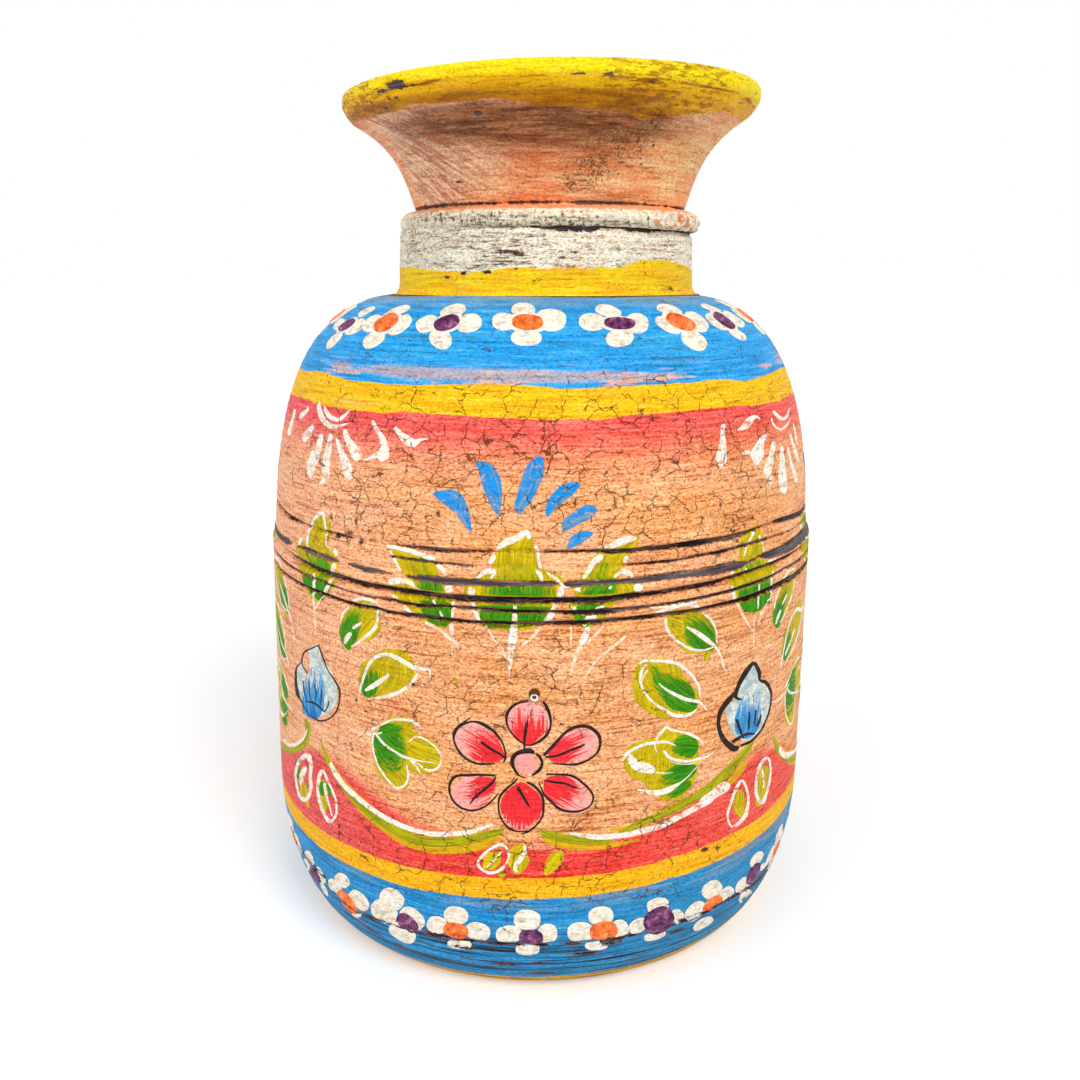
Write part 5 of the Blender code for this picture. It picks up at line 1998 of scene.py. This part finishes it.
def ghost_colour(n):
    return n.mix(n.step(n.blotch, 0.38, 0.66), rgb(255, 238, 216), n.group(ground)["Color"])


def olive_colour(n):
    colour = n.mix(n.step(n.streak, 0.35, 0.65), rgb(222, 198, 0), rgb(172, 152, 0))
    return worn(n, colour, 0.35, 0.64, 0.72)


def green_colour(n):
    """Green that runs out in streaks over the olive, towards its end and at the edges of the grooves."""
    green = n.mix(n.step(n.streak, 0.35, 0.62), rgb(70, 158, 0), rgb(22, 118, 0))
    z = n.parts(n.place())[2]
    groove = n.step(n.math("ABSOLUTE", z - 143.5), 2.0, 1.4) * 0.50
    ledge = n.step(n.math("ABSOLUTE", z - 150.6), 3.0, 1.0) * 0.10
    reach = n.t + (n.streak - 0.5) * 2.0 + (groove + ledge)
    side = n.step(n.math("ABSOLUTE", n.c), 0.50, 0.95) * 0.30
    return n.mix(n.step(reach + side, 0.80, 0.88), green, olive_colour(n))


def petal_colour(n, more=0.0):
    pink = n.mix(n.step(n.blotch, 0.40, 0.65), rgb(250, 178, 172), rgb(238, 158, 148))
    red = n.mix(n.step(n.streak, 0.40, 0.65), rgb(248, 48, 58), rgb(222, 34, 48))
    edge = n.math("POWER", n.math("ABSOLUTE", n.c), 3.0) * 0.34
    reach = n.t + edge + (n.streak - 0.5) * 1.5 - (n.seed * 0.15 + more)
    return worn(n, n.mix(n.step(reach, 0.52, 0.68), red, pink), 0.4, 0.62, 0.72)


def pale_colour(n):
    colour = n.mix(n.step(n.blotch, 0.38, 0.60), rgb(230, 234, 226), rgb(172, 196, 200))
    return worn(n, colour, 0.6, 0.62, 0.72)


def bud_blue_colour(n):
    blue = n.mix(n.step(n.streak, 0.40, 0.62), rgb(64, 160, 222), rgb(16, 112, 180))
    reach = n.t + (n.streak - 0.5) * 1.9
    return n.mix(n.step(reach, 0.55, 0.80), blue, pale_colour(n))


def blossom_colour(n):
    colour = n.mix(n.step(n.blotch, 0.45, 0.75), rgb(252, 246, 230), rgb(226, 208, 178))
    middle = n.step(n.math("ABSOLUTE", n.c), 0.45, 0.1) * n.step(n.blotch, 0.50, 0.58)
    colour = n.mix(middle * 0.35, colour, rgb(170, 205, 220))
    dirt = around_noise(n, n.place(), 0.35, 1.1, 3.0, 0.65)
    return n.mix(n.step(dirt, 0.53, 0.63) * 0.5, colour, rgb(186, 156, 112))


def heart_colour(dark, base, light):
    """The thick dab in a blossom's middle: its base with painted highlights, and dark where it lies thin."""

    def mix_colour(n):
        lit = n.mix(n.step(n.blotch, 0.55, 0.64), base, light)
        return n.mix(n.step(n.blotch, 0.40, 0.47), dark, lit)

    return mix_colour


# Each heart's dark, base and painted highlight colours
ORANGE = rgb(214, 84, 34), rgb(250, 122, 56), rgb(255, 164, 104)
PURPLE = rgb(62, 26, 60), rgb(112, 54, 104), rgb(168, 106, 150)
paints = {
    "fan": stroke_paint("fan_blue", fan_colour),
    "white": stroke_paint("chalk_white", white_colour),
    "ghost": stroke_paint("thin_white", ghost_colour),
    "olive": stroke_paint("leaf_olive", olive_colour),
    "green": stroke_paint("leaf_green", green_colour),
    "vine": stroke_paint("vine_green", two_tone(rgb(186, 184, 0), rgb(136, 140, 0))),
    "ochre": stroke_paint("vine_ochre", two_tone(rgb(232, 186, 14), rgb(206, 152, 16))),
    "petal": stroke_paint("petal_red", petal_colour),
    "full_petal": stroke_paint("petal_deep_red", lambda n: petal_colour(n, 0.3)),
    "pink": stroke_paint("heart_pink", two_tone(rgb(244, 172, 168), rgb(232, 150, 140))),
    "black": stroke_paint("line_black", two_tone(rgb(24, 18, 20), rgb(40, 30, 32))),
    "pale": stroke_paint("bud_pale", pale_colour),
    "bud_blue": stroke_paint("bud_blue", bud_blue_colour),
    "blossom": stroke_paint("blossom_white", blossom_colour),
    "orange": stroke_paint("heart_orange", heart_colour(*ORANGE)),
    "purple": stroke_paint("heart_purple", heart_colour(*PURPLE)),
}
paints["sun"] = paints["white"]


def painting(name, slot, *names):
    """An empty painting with the paints that it needs."""
    return Painting(name, slot, [paints[one] for one in names])


blossoms = painting("shoulder_blossoms", "shoulder_paint", "blossom", "orange", "purple")
flower_ring(blossoms, SHOULDER_FLOWERS, (3, 4, 3, 2), 11, True)
blossoms.finish()
blossoms = painting("foot_blossoms", "belly_paint", "blossom", "orange", "purple")
flower_ring(blossoms, FOOT_FLOWERS, (4, 5, 3, 4), 19, False)
blossoms.finish()
fans = painting("blue_fans", "shoulder_paint", "fan")
quarters(fans, FANS)
fans.finish()
suns = painting("half_suns", "shoulder_paint", "white")
paint_all(suns, SUNS_LEFT)
paint_all(suns, SUNS_RIGHT)
paint_all(suns, SUNS_LEFT, turn=203, down=0.8, grow=1.04)
paint_all(suns, SUNS_LEFT, turn=-104, down=-0.6, grow=0.97)
suns.finish()
crowns = painting("leaf_crowns", "belly_paint", "olive", "green", "white", "ghost")
quarters(crowns, CROWN_MIDDLE)
quarters(crowns, CROWN_LEFT)
quarters(crowns, CROWN_RIGHT)
quarters(crowns, CROWN_OVER_BUD, skip=(270,))
paint_all(crowns, CROWN_OVER_LEFT_BUD)
crowns.finish()
leaves = painting("leaves", "belly_paint", "olive", "green", "white", "ghost")
quarters(leaves, LEAVES)
leaves.finish()
leaves = painting("small_leaves", "belly_paint", "olive", "green", "white")
quarters(leaves, SMALL_LEAVES_MIDDLE)
quarters(leaves, SMALL_LEAVES_RIGHT, skip=(270,))
paint_all(leaves, SMALL_LEAVES_LEFT)
leaves.finish()
vines = painting("vines", "belly_paint", "ochre", "vine", "olive", "white")
quarters(vines, VINES_LEFT, skip=(90,))
paint_all(vines, VINES_LEFT, turn=98.5, down=2.5)
quarters(vines, VINES_RIGHT, skip=(270,))
paint_all(vines, LEFT_BOWL, turn=-89, grow=1.6)
paint_all(vines, LEFT_SWAG)
vines.finish()
flowers = painting("red_flowers", "belly_paint", "petal", "full_petal", "pink", "black")
quarters(flowers, RED_FLOWER)
flowers.finish()
buds = painting("buds", "belly_paint", "pale", "bud_blue", "black")
quarters(buds, RIGHT_BUD, skip=(270,))
paint_all(buds, LEFT_BUD)
buds.finish()


# The nail over the red flower, and the beetles' holes in the mouth


def button(profile, skin, x, y, size):
    """A small turned form about a skin's normal at a pixel; the profile is radius and height, ending at 0."""
    theta, s = cast_one(x, y, skin)
    base, tip = skin.at([theta], [s])[0], skin.at([theta], [s], 1.0)[0]
    out = (tip - base) / np.linalg.norm(tip - base)
    side = np.cross(out, (0, 0, 1.0))
    side /= np.linalg.norm(side)
    up = np.cross(side, out)
    turn = np.arange(20) / 20 * TAU
    rings = [
        base + size * (radius * (np.cos(turn)[:, None] * side + np.sin(turn)[:, None] * up) + height * out)
        for radius, height in profile
    ]
    points = np.concatenate([*rings, [base - 0.5 * out]])
    last = len(points) - 1
    faces = [tuple(f) for f in grid_faces(len(profile), 20)]
    faces += [(last, (j + 1) % 20, j) for j in range(20)]
    faces.append(tuple(range((len(profile) - 1) * 20, len(profile) * 20))[::-1])
    return points, faces


def buttons(name, slot, material, profile, skin, spots):
    """One mesh of small turned forms at pixels, each with its size in mm."""
    points, faces = [], []
    for x, y, size in spots:
        more, ring = button(profile, skin, x, y, size)
        faces += [tuple(i + sum(map(len, points)) for i in face) for face in ring]
        points.append(more)
    obj = new_mesh(name, np.concatenate(points), faces)
    finish_mesh(obj, None, slot, [material])


NAIL_HEAD = ((1.0, -0.1), (1.0, 0.15), (0.9, 0.38), (0.7, 0.52), (0.4, 0.6), (0.05, 0.62))
NAIL_RING = ((1.0, 0.0), (1.0, 0.75), (0.86, 1.0), (0.66, 0.97), (0.55, 0.75), (0.05, 0.7))
NAIL_HEART = ((1.0, 0.5), (1.0, 1.35), (0.7, 1.55), (0.05, 1.6))
HOLE_RIM = ((1.5, -0.1), (1.35, 0.12), (1.1, 0.22), (0.85, 0.15), (0.75, -0.1), (0.1, -0.3))
HOLE = ((0.85, -0.2), (0.8, 0.05), (0.7, 0.08), (0.4, 0.09), (0.05, 0.1))
HOLES = (
    (653, 145, 0.6), (589, 160, 0.45), (640, 158, 0.4), (641, 164, 0.45), (646, 168, 0.4), (609, 171, 0.4),
    (618, 174, 0.4), (625, 192, 0.4), (648, 200, 0.3), (594, 188, 0.3), (635, 108, 0.4),
)
nail_brown = plain("nail_brown", rgb(66, 34, 16), rgb(104, 62, 34), 0.4)
# The nail's pale ring is a painted highlight on its metal head
nail_highlight = plain("nail_highlight", rgb(214, 206, 202), rgb(250, 246, 244), 0.2)
nail_grey = plain("nail_grey", rgb(56, 52, 60), rgb(84, 80, 88), 0.2)
rim_pale = plain("rim_pale", rgb(236, 190, 150), rgb(214, 160, 120), 0.3)
hole_dark = plain("hole_dark", rgb(28, 18, 18), rgb(50, 32, 28), 0.2)

buttons("nail_head", "belly_paint", nail_brown, NAIL_HEAD, body_skin, [(534.4, 693.6, 1.75)])
# The pale ring: a painted highlight on the nail's head
buttons("nail_highlight_ring", "belly_paint", nail_highlight, NAIL_RING, body_skin, [(534.4, 696.2, 1.25)])
buttons("nail_heart", "belly_paint", nail_grey, NAIL_HEART, body_skin, [(534.4, 696.2, 0.65)])
buttons("hole_rims", "mouth_paint", rim_pale, HOLE_RIM, mouth_skin, HOLES)
buttons("hole_hearts", "mouth_paint", hole_dark, HOLE, mouth_skin, HOLES)


# Floor, light and camera


def bright_rays(n):
    """1 for the rays that show the floor and the world: from the camera, and by gloss or through glass."""
    path = n.add("LightPath").outputs
    camera, gloss, glass = (Value(n, path[f"Is {one} Ray"]) for one in ("Camera", "Glossy", "Transmission"))
    return n.math("MAXIMUM", camera, n.math("MAXIMUM", gloss, glass))


def make_floor():
    """A plain pale floor that keeps the pot's shadow; to the camera it is a little lighter than its light."""
    mesh = bpy.data.meshes.new("floor")
    half = 30.0
    corners = [(-half, -half, 0), (half, -half, 0), (half, half, 0), (-half, half, 0)]
    mesh.from_pydata(corners, [], [(0, 1, 2, 3)])
    floor = bpy.data.objects.new("floor", mesh)
    bpy.context.scene.collection.objects.link(floor)
    material, n, shader = new_material("pale_floor")
    n.put(shader.inputs["Base Color"], (0.80, 0.80, 0.80, 1))
    n.put(shader.inputs["Roughness"], 0.9)
    n.put(shader.inputs["Emission Color"], (1, 1, 1, 1))
    n.put(shader.inputs["Emission Strength"], bright_rays(n) * 0.30)
    mesh.materials.append(material)
    floor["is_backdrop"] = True


def make_world():
    """A white studio, brighter in what the camera sees than in the light that it gives."""
    world = bpy.data.worlds.new("studio")
    bpy.context.scene.world = world
    world.use_nodes = True
    n = Nodes(world.node_tree)
    background = world.node_tree.nodes["Background"]
    n.put(background.inputs["Color"], (1.0, 1.0, 1.0, 1))
    n.put(background.inputs["Strength"], bright_rays(n) * 0.5 + 0.5)


def make_lamp(name, towards, softness, strength):
    """A distant soft lamp that shines from one direction, so that the floor is lit evenly."""
    data = bpy.data.lights.new(name, "SUN")
    data.angle = softness
    data.energy = strength
    lamp = bpy.data.objects.new(name, data)
    x, y, z = np.array(towards) / np.linalg.norm(towards)
    lamp.rotation_euler = (math.acos(z), 0, math.atan2(x, -y))
    bpy.context.scene.collection.objects.link(lamp)


def make_camera():
    """The photograph's view: a phone held about 40 cm away, looking a little down."""
    data = bpy.data.cameras.new("camera")
    data.sensor_width = 36.0
    data.lens = data.sensor_width * FOCAL / (2 * HALF_IMAGE)
    data.clip_start = 0.01
    camera = bpy.data.objects.new("camera", data)
    camera.location = CAMERA * 0.001
    camera.rotation_euler = (math.pi / 2 - PITCH, 0.0, 0.0)
    bpy.context.scene.collection.objects.link(camera)
    bpy.context.scene.camera = camera


make_floor()
make_world()
make_lamp("key", (0.45, -0.75, 0.85), 0.5, 1.7)
make_lamp("fill", (-0.75, -0.6, 0.5), 0.9, 0.9)
make_camera()
bpy.context.scene.view_settings.view_transform = "Standard"

[[list(corner) for corner in box] for box in (cad_box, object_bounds())]
